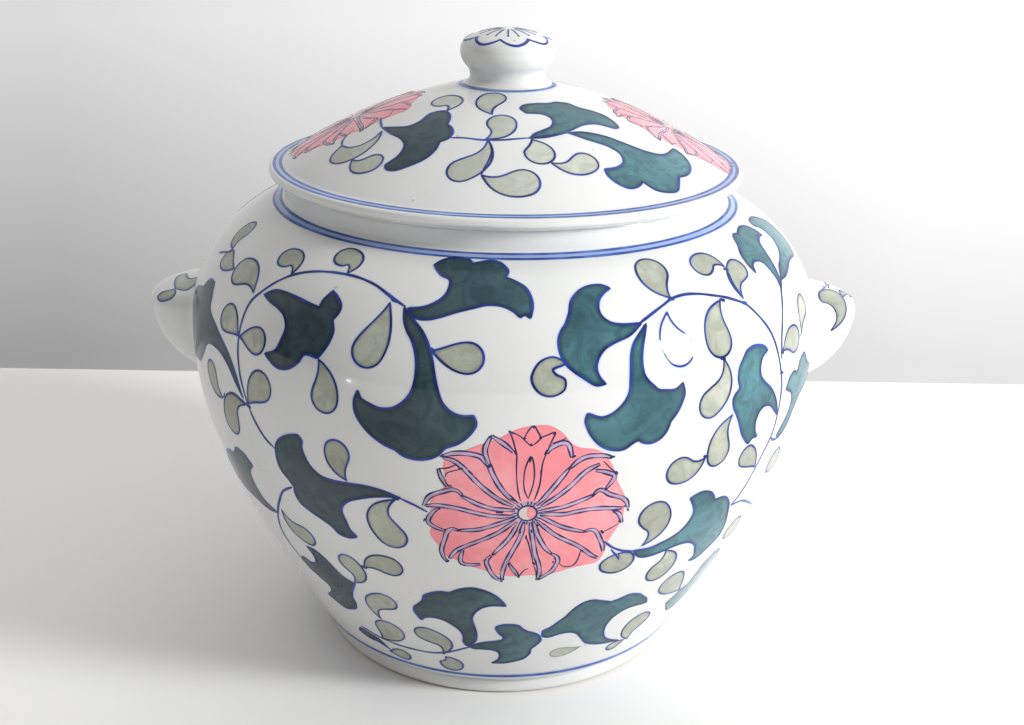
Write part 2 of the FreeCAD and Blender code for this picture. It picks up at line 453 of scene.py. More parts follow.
class Seen:
    """A piece as the camera sees it. Places are (right, up) from a point of the piece."""

    scale = 1.0

    def __init__(self, points, faces, centre):
        self.tree = BVHTree.FromPolygons([Vector(p) for p in points], faces)
        self.eye = Vector(CAMERA_AT)
        self.centre = Vector(centre)
        self.frame = camera_turn()

    def at(self, places):
        found, facing = [], []
        for across, up in places:
            aim = self.centre + self.frame @ Vector((across, up, 0)) - self.eye
            place, normal_there, _, _ = self.tree.ray_cast(self.eye, aim.normalized())
            if place is None:
                place, normal_there, _, _ = self.tree.find_nearest(self.eye + aim)
            found.append(place)
            facing.append(outward(normal_there, -aim))
        return np.array(found), np.array(facing)

    def settle(self, points):
        near = [self.tree.find_nearest(Vector(p)) for p in points]
        return np.array([h[0] for h in near]), np.array([outward(h[1], self.eye - h[0]) for h in near])


def camera_turn():
    """The camera's turn as a matrix whose columns are its right, its up and its back."""
    pitch, yaw, roll = (math.radians(a) for a in (CAMERA_PITCH, CAMERA_YAW, CAMERA_ROLL))
    ahead = Vector((math.sin(yaw) * math.cos(pitch), math.cos(yaw) * math.cos(pitch), -math.sin(pitch)))
    right = Vector((math.cos(yaw), -math.sin(yaw), 0))
    level = Matrix((right, right.cross(ahead), -ahead)).transposed()
    return level @ Matrix.Rotation(roll, 3, "Z")


def outward(facing, away):
    return facing if facing.dot(Vector(away)) > 0 else -facing


# Lines and outlines in the plane of a surface


def spline(points, step):
    """A smooth line through points, as an array."""
    points = np.asarray(points, float)
    if len(points) == 2:
        count = max(2, math.ceil(np.linalg.norm(points[1] - points[0]) / step))
        return points[0] + (points[1] - points[0]) * np.linspace(0, 1, count + 1)[:, None]
    before = 2 * points[0] - points[1]
    after = 2 * points[-1] - points[-2]
    knots = np.vstack([before, points, after])
    line = [points[0]]
    for k in range(1, len(knots) - 2):
        four = knots[k - 1 : k + 3]
        times = np.concatenate([[0], np.cumsum(np.sqrt(np.linalg.norm(np.diff(four, axis=0), axis=1)))])
        count = max(2, math.ceil(np.linalg.norm(four[2] - four[1]) / step))
        t = np.linspace(times[1], times[2], count + 1)[1:, None]
        first = [
            ((times[j + 1] - t) * four[j] + (t - times[j]) * four[j + 1]) / (times[j + 1] - times[j])
            for j in range(3)
        ]
        second = [
            ((times[j + 2] - t) * first[j] + (t - times[j]) * first[j + 1]) / (times[j + 2] - times[j])
            for j in range(2)
        ]
        last = ((times[2] - t) * second[0] + (t - times[1]) * second[1]) / (times[2] - times[1])
        line.extend(last)
    return np.array(line)


def outline(points, scale, step=LINE_STEP):
    """A closed line through points, smooth but for those marked SHARP, without its last point."""
    flat = [np.array([p[0] * scale, p[1]]) for p in points]
    sharp = [k for k, p in enumerate(points) if len(p) == 3]
    if not sharp:
        around = flat[-3:] + flat + flat[:3]
        whole = spline(around, step)
        first = int(np.argmin(np.linalg.norm(whole - flat[0], axis=1)))
        rest = whole[first + 1 :]
        last = first + 1 + int(np.argmin(np.linalg.norm(rest[8:] - flat[0], axis=1))) + 8
        loop = whole[first:last]
    else:
        loop = []
        for a, b in zip(sharp, sharp[1:] + [sharp[0] + len(flat)]):
            part = [flat[k % len(flat)] for k in range(a, b + 1)]
            loop.extend(spline(part, step)[:-1])
        loop = np.array(loop)
    return loop / (scale, 1)


def bud_outline(tip, head, radius, bend, mm_across):
    """A drop from its pointed tip to its round head, in places. bend is the stem's sideways bulge."""
    metric = np.array([mm_across, 1.0])
    tip = np.array(tip) * metric
    head = np.array(head) * metric
    way = head - tip
    middle = (tip + head) / 2 + np.array([-way[1], way[0]]) * bend
    t = np.linspace(0, 1, 26)[:, None]
    spine = (1 - t) ** 2 * tip + 2 * t * (1 - t) * middle + t**2 * head
    slope = 2 * (1 - t) * (middle - tip) + 2 * t * (head - middle)
    slope /= np.linalg.norm(slope, axis=1)[:, None]
    side = np.stack([-slope[:, 1], slope[:, 0]], 1)
    width = radius * np.sin(np.pi / 2 * t) ** 1.15
    angle = np.linspace(np.pi / 2, -np.pi / 2, 18)[1:-1, None]
    cap = head + radius * (np.cos(angle) * slope[-1] + np.sin(angle) * side[-1])
    loop = np.vstack([spine + side * width, cap, (spine - side * width)[:0:-1]])
    return loop / metric


def resample(line, scale, step, closed=False):
    """The line with even steps."""
    flat = line * (scale, 1)
    if closed:
        flat = np.vstack([flat, flat[:1]])
    length = np.concatenate([[0], np.cumsum(np.linalg.norm(np.diff(flat, axis=0), axis=1))])
    count = max(3, round(length[-1] / step))
    at = np.linspace(0, length[-1], count + 1)
    even = np.stack([np.interp(at, length, flat[:, k]) for k in range(2)], 1) / (scale, 1)
    return even[:-1] if closed else even


class Paint:
    """Gathers thin strips and patches of one colour into a mesh."""

    def __init__(self):
        self.points, self.normals, self.faces, self.shade = [], [], [], []

    def add(self, points, normals, faces, shade):
        first = len(self.points)
        self.points.extend(points)
        self.normals.extend(normals)
        self.shade.extend(shade)
        self.faces.extend([tuple(first + k for k in face) for face in faces])

    def strip(self, surface, line, widths, lift, closed, soft):
        """A ribbon along a line. soft ribbons fade from 1 at the middle to 0 at their edges."""
        points, normals = surface.at(line)
        if closed:
            way = np.roll(points, -1, 0) - np.roll(points, 1, 0)
        else:
            way = np.gradient(points, axis=0)
        side = np.cross(normals, way)
        side /= np.maximum(np.linalg.norm(side, axis=1), 1e-9)[:, None]
        half = side * (widths / 2)[:, None]
        left, left_normals = surface.settle(points + half)
        right, right_normals = surface.settle(points - half)
        rows = [
            left + left_normals * lift,
            points + normals * lift,
            right + right_normals * lift,
            right - right_normals * SUNK,
            left - left_normals * SUNK,
        ]
        count = len(points)
        faces = []
        for k in range(count if closed else count - 1):
            after = (k + 1) % count
            for row in range(5):
                a, b = row * count, (row + 1) % 5 * count
                faces.append((a + k, b + k, b + after, a + after))
        if not closed:
            faces.append(tuple(row * count for row in range(4, -1, -1)))
            faces.append(tuple(row * count + count - 1 for row in range(5)))
        edge = 0.0 if soft else 1.0
        shade = [edge] * count + [1.0] * count + [edge] * 3 * count
        facing = [left_normals, normals, right_normals, right_normals, left_normals]
        self.add(np.vstack(rows), np.vstack(facing), faces, shade)

    def patch(self, surface, loop, lift, step=FILL_STEP):
        """A filled outline. shade is how far in each point lies, in millimetres."""
        loop = resample(loop, surface.scale, LINE_STEP * 1.6, closed=True)
        flat = loop * (surface.scale, 1)
        low, high = flat.min(0), flat.max(0)
        grid = []
        for row, v in enumerate(np.arange(low[1], high[1], step * 0.87)):
            for u in np.arange(low[0] + (row % 2) * step / 2, high[0], step):
                grid.append((u, v))
        grid = np.array(grid).reshape(-1, 2)
        away = distance_to_loop(grid, flat)
        grid = grid[away > step * 0.55]
        border = [(k, (k + 1) % len(flat)) for k in range(len(flat))]
        both = np.vstack([flat, grid])
        result = delaunay_2d_cdt([Vector(p) for p in both], border, [list(range(len(flat)))], 1, 1e-5)
        found = np.array([tuple(v) for v in result[0]])
        faces = [tuple(face) for face in result[2]]
        points, normals = surface.at(found / (surface.scale, 1))
        depth = np.maximum(distance_to_loop(found, flat), 0)
        count = len(found)
        all_faces = list(faces) + [tuple(k + count for k in face[::-1]) for face in faces]
        sides = {}
        for face in faces:
            for a, b in zip(face, face[1:] + face[:1]):
                sides[(a, b)] = (b, a) not in sides
                if not sides[(a, b)]:
                    sides.pop((a, b))
                    sides.pop((b, a), None)
        all_faces += [(b, a, a + count, b + count) for a, b in sides]
        self.add(
            np.vstack([points + normals * lift, points - normals * SUNK]),
            np.vstack([normals, normals]),
            all_faces,
            list(depth) * 2,
        )

    def build(self, name, slot, body, material):
        piece = make_mesh(name, self.points, self.faces, self.normals)
        shade = piece.data.attributes.new("shade", "FLOAT", "POINT")
        shade.data.foreach_set("value", self.shade)
        piece.data.materials.append(material)
        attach(piece, body)


def distance_to_loop(points, loop):
    """How far each point lies inside a closed loop, and below zero outside."""
    if not len(points):
        return np.zeros(0)
    starts, ends = loop, np.roll(loop, -1, 0)
    way = ends - starts
    length = np.maximum((way**2).sum(1), 1e-12)
    apart = points[:, None] - starts[None]
    share = np.clip((apart * way).sum(2) / length, 0, 1)
    nearest = np.linalg.norm(apart - share[..., None] * way, axis=2).min(1)
    above = starts[None, :, 1] > points[:, None, 1]
    crosses = above != (ends[None, :, 1] > points[:, None, 1])
    slope = way[:, 0] / np.where(way[:, 1] == 0, 1e-12, way[:, 1])
    reach = starts[:, 0] + (points[:, None, 1] - starts[None, :, 1]) * slope
    inside = (crosses & (points[:, None, 0] < reach)).sum(1) % 2 == 1
    return np.where(inside, nearest, -nearest)


# The brush


SLOTS = {
    "leaves": "green_enamel",
    "buds": "sage_enamel",
    "rose": "rose_enamel",
    "lines": "cobalt_enamel",
    "halo": "cobalt_enamel",
    "bands": "cobalt_enamel",
    "veins": "cobalt_enamel",
    "bare": "rose_enamel",
    "rings": "cobalt_enamel",
    "ink": "cobalt_enamel",
    "pale": "sage_enamel",
}


class Brush:
    """The washes and lines of one body."""

    def __init__(self):
        self.kinds = {kind: Paint() for kind in SLOTS}
        self.strokes = 0

    def line(self, surface, line, width=0.75, closed=False, ends=0.45, halo=1.3, kind="lines"):
        """A brush line whose width wanders a little and thins at its ends."""
        self.strokes += 1
        line = resample(np.asarray(line, float), surface.scale, LINE_STEP, closed)
        count = len(line)
        length = np.arange(count) * LINE_STEP
        phase = self.strokes * 1.7
        if closed:
            turns = max(1, round(length[-1] / 19))
            wave = np.sin(np.arange(count) / count * 2 * math.pi * turns + phase)
            widths = width * (1 + 0.16 * wave)
        else:
            wave = 0.13 * np.sin(length / 3.1 + phase) + 0.08 * np.sin(length / 1.3 + 2 * phase)
            to_end = np.minimum(length, length[::-1])
            widths = width * (1 + wave) * (ends + (1 - ends) * np.clip(to_end / 2.5, 0, 1))
        self.kinds[kind].strip(surface, line, widths, LINE_LIFT, closed, False)
        if halo:
            self.kinds["halo"].strip(surface, line, widths + halo, HALO_LIFT, closed, True)

    def curve(self, surface, points, width=0.75, **options):
        flat = [(p[0] * surface.scale, p[1]) for p in points]
        self.line(surface, spline(flat, LINE_STEP) / (surface.scale, 1), width, **options)

    def vein(self, surface, place, points, k):
        """A pale ribbon between two broken dark lines, as the flower's petals are drawn."""
        self.strokes += 1
        line = resample(spline(points, LINE_STEP), 1.0, LINE_STEP)
        way = np.gradient(line, axis=0)
        side = np.stack([-way[:, 1], way[:, 0]], 1) / np.linalg.norm(way, axis=1)[:, None]
        length = np.arange(len(line)) * LINE_STEP
        to_end = np.clip(np.minimum(length, length[::-1]) / 3, 0, 1)
        half = VEIN_HALF * k * (0.5 + 0.5 * to_end)
        self.kinds["veins"].strip(surface, place(line), half * VEIN_FILL, VEIN_LIFT, False, False)
        for hand in (-1, 1):
            phase = self.strokes * 2.3 + hand
            wave = 0.5 * np.sin(length / 2.1 + phase) + 0.5 * np.sin(length / 0.9 + 2.7 * phase)
            widths = VEIN_EDGE_WIDTH * k * (1 + 0.6 * wave)
            edge = place(line + side * (half * hand)[:, None])
            self.kinds["ink"].strip(surface, edge, widths, LINE_LIFT, False, False)

    def leaf(self, surface, points, width=0.68):
        loop = outline(points, surface.scale)
        self.kinds["leaves"].patch(surface, loop, WASH_LIFT)
        self.line(surface, loop, width, closed=True)

    def bud(self, surface, loop, width=0.6, step=1.3, kind="buds"):
        self.kinds[kind].patch(surface, loop, WASH_LIFT, step)
        if width:
            self.line(surface, loop, width, closed=True, halo=1.1)

    def ring(self, surface, run, width, kind="rings"):
        """A line all the way round the wall at one run."""
        azimuth = np.arange(0, 360, 1.0)
        line = np.stack([azimuth, np.full(len(azimuth), run)], 1)
        wander = 1 + 0.12 * np.sin(np.radians(azimuth * 5)) + 0.07 * np.sin(np.radians(azimuth * 17 + 40))
        lift = LINE_LIFT if kind == "rings" else WASH_LIFT
        self.kinds[kind].strip(surface, line, width * wander, lift, True, kind != "rings")

    def build(self, body, materials):
        for kind, paint in self.kinds.items():
            if paint.points:
                paint.build(body + "_" + kind, SLOTS[kind], body, materials[kind])


# The scroll on the jar's wall, read as (azimuth, run). A leaf's outline goes round it.

WALL_LEAVES = [
    # Upper left
    [
        (-46.5, 30, SHARP), (-44.5, 32.3), (-42, 32.8), (-38, 32.3), (-34.5, 31.5), (-33, 31.3, SHARP),
        (-32.9, 33.5), (-31.8, 37, SHARP), (-30.3, 35.5), (-29, 33.5), (-28.7, 31.5),
        (-29.4, 28.5, SHARP), (-28.6, 25.5), (-28.8, 22.5), (-29.8, 18.8), (-30.4, 17.2, SHARP),
        (-33, 17.2), (-34, 14.5), (-36, 12), (-38.5, 11.3), (-40.5, 12.8), (-41.6, 14, SHARP),
        (-39.3, 16), (-38.5, 19.5), (-38.3, 23), (-39.5, 26), (-41.5, 27.6), (-44, 28.6),
    ],
    # Above the middle
    [
        (-16.5, 35.5, SHARP), (-14, 36.3), (-12, 38), (-10.5, 40.5), (-10, 43.5), (-10.3, 46),
        (-12, 47.2), (-13.5, 49.5), (-14.2, 51.2, SHARP), (-13, 53.3), (-11.3, 54.7), (-9, 55),
        (-7.3, 54.5), (-6.5, 53, SHARP), (-5.3, 53.5), (-3, 54.5), (-1.3, 54), (0, 52.3), (0.8, 50),
        (0.3, 47.8, SHARP), (2.5, 46), (4, 44), (4.8, 41), (5, 38), (4.5, 34.3, SHARP), (3.6, 35.3),
        (2.8, 34.5, SHARP), (1.5, 36.5), (-0.5, 38), (-3, 38.2), (-5, 37.2), (-8, 35.5),
        (-11, 33.5), (-13, 32.7), (-15, 33),
    ],
    # Left of the middle
    [
        (-17.2, 35.7, SHARP), (-15, 32.2), (-13, 28.7), (-11.8, 25.5), (-11, 22), (-10.3, 17),
        (-9.7, 13), (-9, 10), (-7.5, 7.5), (-6, 6.7), (-4.2, 6.9, SHARP), (-3.8, 4.5), (-4.7, 1.5),
        (-6.5, -1.5), (-8.5, -3.3), (-9.5, -5.5, SHARP), (-11, -7), (-13, -7.6), (-15, -7),
        (-16.5, -5.3, SHARP), (-18, -4.5), (-20, -2.5), (-21.8, 0.5), (-23, 4), (-23.2, 7.5),
        (-22.6, 10.6, SHARP), (-22, 8.5), (-20.5, 7.3), (-19, 6.5), (-17, 6.9), (-15.5, 8.5),
        (-14.3, 11), (-13.6, 14), (-13.4, 19), (-13.8, 23), (-14.7, 26.5), (-15.8, 29),
        (-16.7, 32),
    ],
    # Right of the middle
    [
        (23.5, 30.7, SHARP), (20, 31), (18, 32), (16.8, 34), (16.5, 36), (17, 39), (18.3, 41.2),
        (19.7, 42.5, SHARP), (18.3, 43.8), (16.3, 44), (14.5, 43.2), (13, 41.5), (11.8, 39),
        (11.2, 35.5), (10.3, 32.3, SHARP), (9.3, 30), (8.8, 27.5), (9, 24), (9.6, 21.5), (11, 19),
        (12.5, 17), (14.4, 14.8), (15.9, 15, SHARP), (15, 17), (14.6, 19.5), (15, 22),
        (16.2, 24.5), (18, 26), (21, 27.7),
    ],
    # Right of the middle, lower
    [
        (24.3, 30.3, SHARP), (22.5, 27.5), (21.2, 25), (20.5, 22), (20.2, 18.5), (20, 15.5),
        (19.7, 12), (18.7, 9), (17, 6.5), (15.3, 5.6), (13, 7, SHARP), (12.7, 5), (13.2, 2),
        (14, -0.5), (15.3, -3), (17, -4.5), (19, -4.8), (20.5, -3.3), (21.4, -2.5, SHARP),
        (22.5, -3.8), (23.8, -4.2), (25.3, -3.3), (26.4, -1.2), (27, 1.6, SHARP), (28, 3.5),
        (29, 6.5), (29.5, 9), (29.2, 12.3, SHARP), (27.8, 10.8), (26, 11), (24.7, 11.5),
        (23.8, 13), (23, 14.5), (22.4, 16.5), (22.3, 20), (22.8, 24), (23.6, 27.5),
    ],
    # Right, under the vine
    [
        (43.5, 16.2), (45.3, 16.9), (47, 16.5), (48.5, 15.4), (49.2, 14, SHARP), (47.5, 12.5),
        (46.8, 10), (47, 7), (48.2, 4.5), (50, 2), (51.5, -0.8), (53, -5), (54, -9.5, SHARP),
        (52.5, -7.2), (50.5, -4.3), (48.5, -3.5), (47.3, -4.5), (46.5, -7.5), (46.8, -10.5),
        (47.8, -13.2, SHARP), (46.5, -13), (45.5, -14.4, SHARP), (44.5, -12.8), (43, -9.5),
        (42, -6), (41, -2.5), (40, 0.5), (39.9, 3.5), (41.4, 6, SHARP), (40.9, 9), (41.2, 12.2),
        (42.1, 14),
    ],
    # Right, beside the flower
    [
        (24.5, -44.3, SHARP), (28, -44.8), (30, -44), (32.5, -42.5), (34.3, -40.5), (35.5, -37),
        (35.7, -34), (35, -31), (33.6, -27.3, SHARP), (35, -26.4), (36.5, -26.3), (38.5, -27.8),
        (39.7, -30), (40.4, -32, SHARP), (42, -32), (43.4, -32.7), (44.8, -34.7), (46.2, -38),
        (47.2, -42), (48.4, -46.5), (49.2, -51), (49, -54), (47, -57.2), (44.5, -60),
        (43, -60.3), (41.3, -59.4, SHARP), (42.3, -57.8), (41.5, -54.5), (40.5, -51.5),
        (38.5, -48.8), (36.5, -47.8), (34, -47.7), (31, -48.5), (28, -48.8), (26, -47.7),
    ],
    # Left, beside the flower
    [
        (-16, -21.5, SHARP), (-19, -19.8), (-22, -19.2), (-25, -19.6), (-28, -20), (-30.5, -19.5),
        (-32.3, -17.2), (-33.2, -14.5), (-33.7, -11.5), (-33.5, -9), (-34.3, -7.7, SHARP),
        (-36, -8.5), (-38.5, -11), (-39.8, -14), (-40.2, -18), (-39.8, -22.5), (-38.3, -25.7),
        (-37.5, -27.8, SHARP), (-37.8, -30), (-37.2, -33.5), (-35.5, -35.5), (-33, -37.5),
        (-31, -39.5), (-30, -41.6), (-28.5, -42.3), (-26.8, -41.7), (-25.9, -40.7, SHARP),
        (-26.9, -38.5), (-27.3, -35), (-27.6, -31), (-27, -28.5), (-25.5, -26), (-23, -24),
        (-20.5, -22.5), (-18, -21.6),
    ],
    # Lower left
    [
        (-31, -66, SHARP), (-33, -64.8), (-34.5, -62.5), (-36, -59), (-37.5, -56.5), (-39, -55.2),
        (-41.2, -55.3, SHARP), (-40.4, -58), (-40.3, -61), (-41.3, -63.5), (-43, -64.3),
        (-45, -63.5), (-46.8, -65.5, SHARP), (-45.5, -69), (-43, -72), (-41, -75), (-41.5, -78),
        (-43, -80.5), (-44.8, -82.8, SHARP), (-42.5, -85), (-40, -86.3), (-37.5, -84.8),
        (-35.3, -82.5), (-34.3, -79), (-34.2, -76), (-33.5, -73), (-32.3, -69.5),
    ],
    # Low, under the flower
    [
        (-7.5, -90.8, SHARP), (-6.3, -89.3), (-5.3, -87), (-5, -83), (-5.3, -78), (-5.6, -73.5),
        (-5, -70.3), (-3.5, -67), (-1.5, -65.5), (1.4, -65.7, SHARP), (0.8, -63.5), (-0.5, -60.5),
        (-2.5, -58), (-5, -56.7), (-7.5, -57.7), (-9.5, -59.9, SHARP), (-11.5, -60),
        (-13.5, -61.5), (-15, -63.5), (-15.5, -66), (-16.8, -68.7), (-17.8, -70.5),
        (-18.2, -73.5), (-17.2, -78, SHARP), (-16.3, -76.3), (-14.5, -75.3), (-12, -76),
        (-10, -78.5), (-8.5, -81.5), (-8, -85), (-8.2, -88.5),
    ],
    [
        (-7, -91, SHARP), (-5, -88.8), (-3, -87.5), (-0.5, -86.5), (1, -85.5), (1.1, -84),
        (0.3, -82.3), (-0.5, -79), (-0.4, -77.7, SHARP), (0.8, -76.6), (2.5, -76.3), (4.3, -77),
        (5.4, -79.2), (6.5, -80.8), (8, -82), (9.3, -84), (9.9, -87), (9, -90), (8, -92),
        (7.8, -95), (6.5, -98), (4, -99.7), (1.5, -100.7), (-1.6, -100.8, SHARP), (0, -98.5),
        (0.5, -96), (0, -93.5), (-1.5, -92.3), (-4, -92), (-6, -92),
    ],
    [
        (10.2, -84.5), (10, -81, SHARP), (11.5, -79.3), (13, -76.3), (14.3, -73.7), (15, -71.5),
        (16, -69), (17.5, -66.8), (19.3, -66.2), (21.5, -67.5), (23.8, -69.3, SHARP),
        (25.5, -68.8), (28, -67.6), (30.5, -68.8), (32.5, -71.5), (34, -74), (34.8, -76.7, SHARP),
        (32.5, -76.3), (30, -76.2), (28, -77.5), (26.3, -80.5), (25.7, -84), (26, -88),
        (27, -91.5), (28.5, -94), (31, -96.3), (33, -97.6, SHARP), (28, -96.3), (25, -95),
        (22, -92.7), (20, -88.5), (18.5, -85.3), (16.5, -83.8), (14, -84.2), (11.8, -85.4),
    ],
    # Round the right side
    [
        (60.3, 28, SHARP), (60.9, 31), (60.8, 34.5), (60.3, 38), (58.5, 39.6), (56.5, 39.2),
        (55.2, 36.3, SHARP), (54.8, 40), (55.5, 43.5), (57.5, 46.5), (59.3, 49.6), (61, 50.7),
        (62.5, 50.1, SHARP), (64.5, 50.9), (67, 51.3), (69.5, 50.2), (70.9, 47.5),
        (71.2, 44.4, SHARP), (69, 44.7), (66.5, 43.5), (65, 40.5), (64, 37), (62.9, 33),
        (61.5, 29.5),
    ],
    [
        (62.4, 30.4, SHARP), (65, 33.5), (69, 35.5), (72.5, 38), (74.7, 42), (74.5, 46),
        (72.8, 48, SHARP), (74, 49.8), (76.5, 50), (79, 49.3), (82, 46.5), (84.5, 42), (84, 35.5),
        (80, 30.8), (76, 31.7), (72, 32), (68, 31), (65, 30.3),
    ],
    [
        (56.3, -2.3, SHARP), (57.5, 0.7), (59.5, 1.8), (61, 0.4, SHARP), (62.5, 3.8), (65, 4.6),
        (67, 1.5), (70, -2), (75, -5.5), (77, -9, SHARP), (71, -8.8), (66, -9.3), (63, -12.3),
        (60.3, -18), (57.5, -19.8), (55.9, -18, SHARP), (57.5, -15.5), (59.5, -12), (60, -8),
        (59, -5), (57.6, -3.6),
    ],
    [
        (47.5, -79.3, SHARP), (50, -78.5), (50.5, -73.5), (51, -68.5), (54, -65.3), (57, -67),
        (59.5, -71.5), (61.5, -77.5), (60.5, -84), (57, -89), (52.5, -92.3), (48.5, -91.7),
        (44.3, -84.4, SHARP), (46.5, -82),
    ],
    # Round the left side
    [
        (-47.4, -3, SHARP), (-49.5, 4), (-52.5, 9.7), (-57, 14), (-61.5, 17.5), (-62.6, 20.7),
        (-64.4, 24.9, SHARP), (-67.5, 24.3), (-69.6, 20.5, SHARP), (-74, 18), (-76.5, 12),
        (-76.3, 3), (-74.3, -4.8, SHARP), (-70.5, -3.3), (-66, -1.7), (-63.3, 2.3), (-60.5, 7.3),
        (-56, 8), (-52.3, 5.5), (-49.6, 1),
    ],
    [
        (-46.2, -44.5, SHARP), (-50, -42), (-51.4, -37), (-51.2, -31.5), (-49, -27.3, SHARP),
        (-51, -24.6), (-54, -24.3), (-56, -27.5), (-60.5, -30), (-64, -35.5), (-64.5, -41),
        (-60.5, -44.2), (-55, -44.7), (-50, -45.7),
    ],
    [
        (-31, -104, SHARP), (-34, -101.8), (-37.5, -101.5), (-40.3, -99.3, SHARP), (-38.3, -96.5),
        (-36, -97.7), (-33.5, -99),
    ],
]

# Buds: tip, centre of the round head, the head's radius and the bend of the stem
WALL_BUDS = [
    ((-43, 38.3), (-47.2, 43.2), 3.5, -0.65),
    ((-31, 43.2), (-33.8, 49.2), 3.6, -0.72),
    ((-20, 36.5), (-21.7, 22), 4.8, 0.12),
    ((-48.8, 15.7), (-44.2, 16.5), 4.0, 0.05),
    ((-46, -4), (-42.4, 3.6), 4.7, 0.12),
    ((-30.2, 17), (-28.6, 6.2), 4.4, 0.25),
    ((-25.4, -18.8), (-26.7, -10), 4.1, 0.25),
    ((-17, -22.2), (-18.8, -37), 4.9, -0.55),
    ((-26.6, -55.3), (-20.7, -51.3), 4.3, 0.32),
    ((-31, -65.5), (-30, -55.3), 3.9, -0.5),
    ((-28.4, -84), (-24.8, -71.6), 4.1, 0.5),
    ((-31.6, -97.6), (-27.4, -90), 5.2, -0.15),
    ((-14.2, -98), (-17, -86.8), 4.1, -0.6),
    ((-13.7, -99.4), (-12.5, -104), 3.8, 0.3),
    ((-31.5, -105.5), (-27, -104.5), 2.9, 0.0),
    ((-44.2, -41.5), (-39.7, -49.3), 4.0, -0.45),
    ((-49.6, 29), (-57, 33.1), 4.6, -0.35),
    ((-60, 32.3), (-66, 33), 3.2, 0.1),
    ((-66.8, 36.5), (-69.6, 43), 4.2, 0.3),
    ((-49.3, 15.5), (-54, 19), 4.2, -0.1),
    ((-47, -5), (-52.7, -13.4), 4.7, -0.5),
    ((-54.8, -7.3), (-59, -1.4), 3.8, 0.35),
    ((-11.3, 24), (-5.4, 22.7), 4.3, -0.05),
    ((30.9, 36.7), (29.9, 46.6), 4.9, 0.25),
    ((47.8, 42), (42.2, 44.9), 3.7, -0.55),
    ((47.2, 31), (51, 39.9), 3.6, 0.45),
    ((41.3, 32.7), (37.7, 21.5), 4.8, -0.32),
    ((37.8, 16.5), (34.9, 4), 4.4, 0.42),
    ((40, -1.7), (37.8, -13.2), 4.4, -0.35),
    ((34.9, -13.3), (29.8, -15.5), 4.4, 0.35),
    ((26, -43), (26.6, -30.3), 5.0, -0.5),
    ((32.3, -48.4), (33.2, -58.4), 4.9, 0.35),
    ((50.5, -26), (45.9, -18.9), 3.6, -0.1),
    ((46.8, -79.3), (39.8, -69.4), 5.0, 0.05),
    ((36.5, -99.3), (36.3, -88.5), 4.6, 0.3),
    ((35.2, -98.8), (32, -100.4), 2.3, 0.0),
    ((60, -60), (55, -55), 4.6, 0.0),
    ((54, 11), (59.4, 12.3), 4.2, 0.25),
    ((63.2, 11.8), (67, 19.4), 3.4, 0.3),
    ((66, -36.5), (60, -30.3), 4.5, 0.0),
]

# The curled bud and the notched one
CURLED_BUD = [
    (10, 21.4, SHARP), (7.8, 23.2), (5.6, 21.7), (4.4, 17.3), (5.6, 13.5), (7.5, 12.5), (9.4, 14.2),
    (9.5, 17), (8.1, 18.5), (7.7, 19.8), (9, 20.7),
]
NOTCHED_BUD = [
    (19.8, -45.3), (18.5, -47.8), (18.8, -50.7), (20.6, -52.8), (22.7, -53.2), (24.6, -51.4),
    (25.2, -48.4), (24.4, -45.4), (22.3, -44.2),
]
NOTCH = [(19.8, -41.8), (21, -44.6), (22, -47.3, SHARP), (21.6, -44.4)]
PALE_BUD = ((29, 32.8), (29.3, 21.8), 4.9, -0.28)
BARE_BUD = ((21.5, -94.5), (15.4, -96.3), 3.0, 0.1)

WALL_VINES = [
    [(-46, -4.8), (-48, 4), (-49, 14), (-49.2, 26), (-47.3, 31), (-45, 35.3), (-42.5, 38.5),
     (-39.5, 40.8), (-36, 42.3), (-32, 43), (-28, 42.8), (-24, 41.3), (-21, 39), (-19.3, 37.6),
     (-17, 35.8)],
    [(-46, -4.8), (-44.5, -9), (-42.5, -13), (-40.2, -15.5)],
    [(-46, -4.8), (-48, -3.9), (-50, -3.2), (-52, -3.6)],
    [(-38, -28), (-41, -31.5), (-43.5, -37), (-45.5, -42), (-47.5, -48), (-48.8, -54),
     (-48.5, -60), (-46.6, -65.5)],
    [(-11.8, -25.2), (-13.5, -23.5), (-16, -21.6)],
    [(-38, -95), (-34, -97), (-28, -98.5), (-22, -98.7), (-17, -98.2), (-14.2, -97), (-11, -94.8),
     (-9, -93), (-6.5, -91)],
    [(23, 30.6), (26, 33), (29, 35.2), (31, 36.5), (34, 37), (37, 36.3), (40, 34.8), (43, 33),
     (45, 31.3), (47, 29.3), (49, 25), (51, 19), (52.3, 12), (53.4, 6), (54.2, 0), (54.2, -8),
     (53.6, -16), (52, -22), (50.6, -28), (49.6, -33), (48.3, -37), (47, -39)],
    [(47, -38.8), (51, -40), (55, -43.5), (60, -48.5), (64, -52)],
    [(47, -79.3), (48.5, -80.5)],
    [(53.6, 9), (54.2, 15), (56, 20), (58.3, 24.5), (60.3, 28), (62.5, 30.3)],
    [(53.3, -17), (55, -19), (58, -20)],
    [(18, -37.6), (20, -41), (22.3, -43.4), (24.6, -44.5)],
    [(62.3, 11.5), (63.5, 12)],
    [(47.2, 31), (46.8, 36), (47.8, 41.6)],
    [(-54.6, -7), (-53.8, -5.2)],
    [(-66.2, 35.5), (-72, 32)],
]

# Where lines meet, the brush leaves a darker spot
SPOTS = [
    (41.8, 32.6), (46.9, 29.6), (47.6, 41.2), (53.9, 4.5), (30.9, 36.6), (-19.4, 37.4), (-11.2, 24.3),
    (-48.9, 15.6), (-46, -4.6), (-26.6, -55), (37.7, 16.3), (35, -13), (-17, -21.7), (54, 10.9),
]

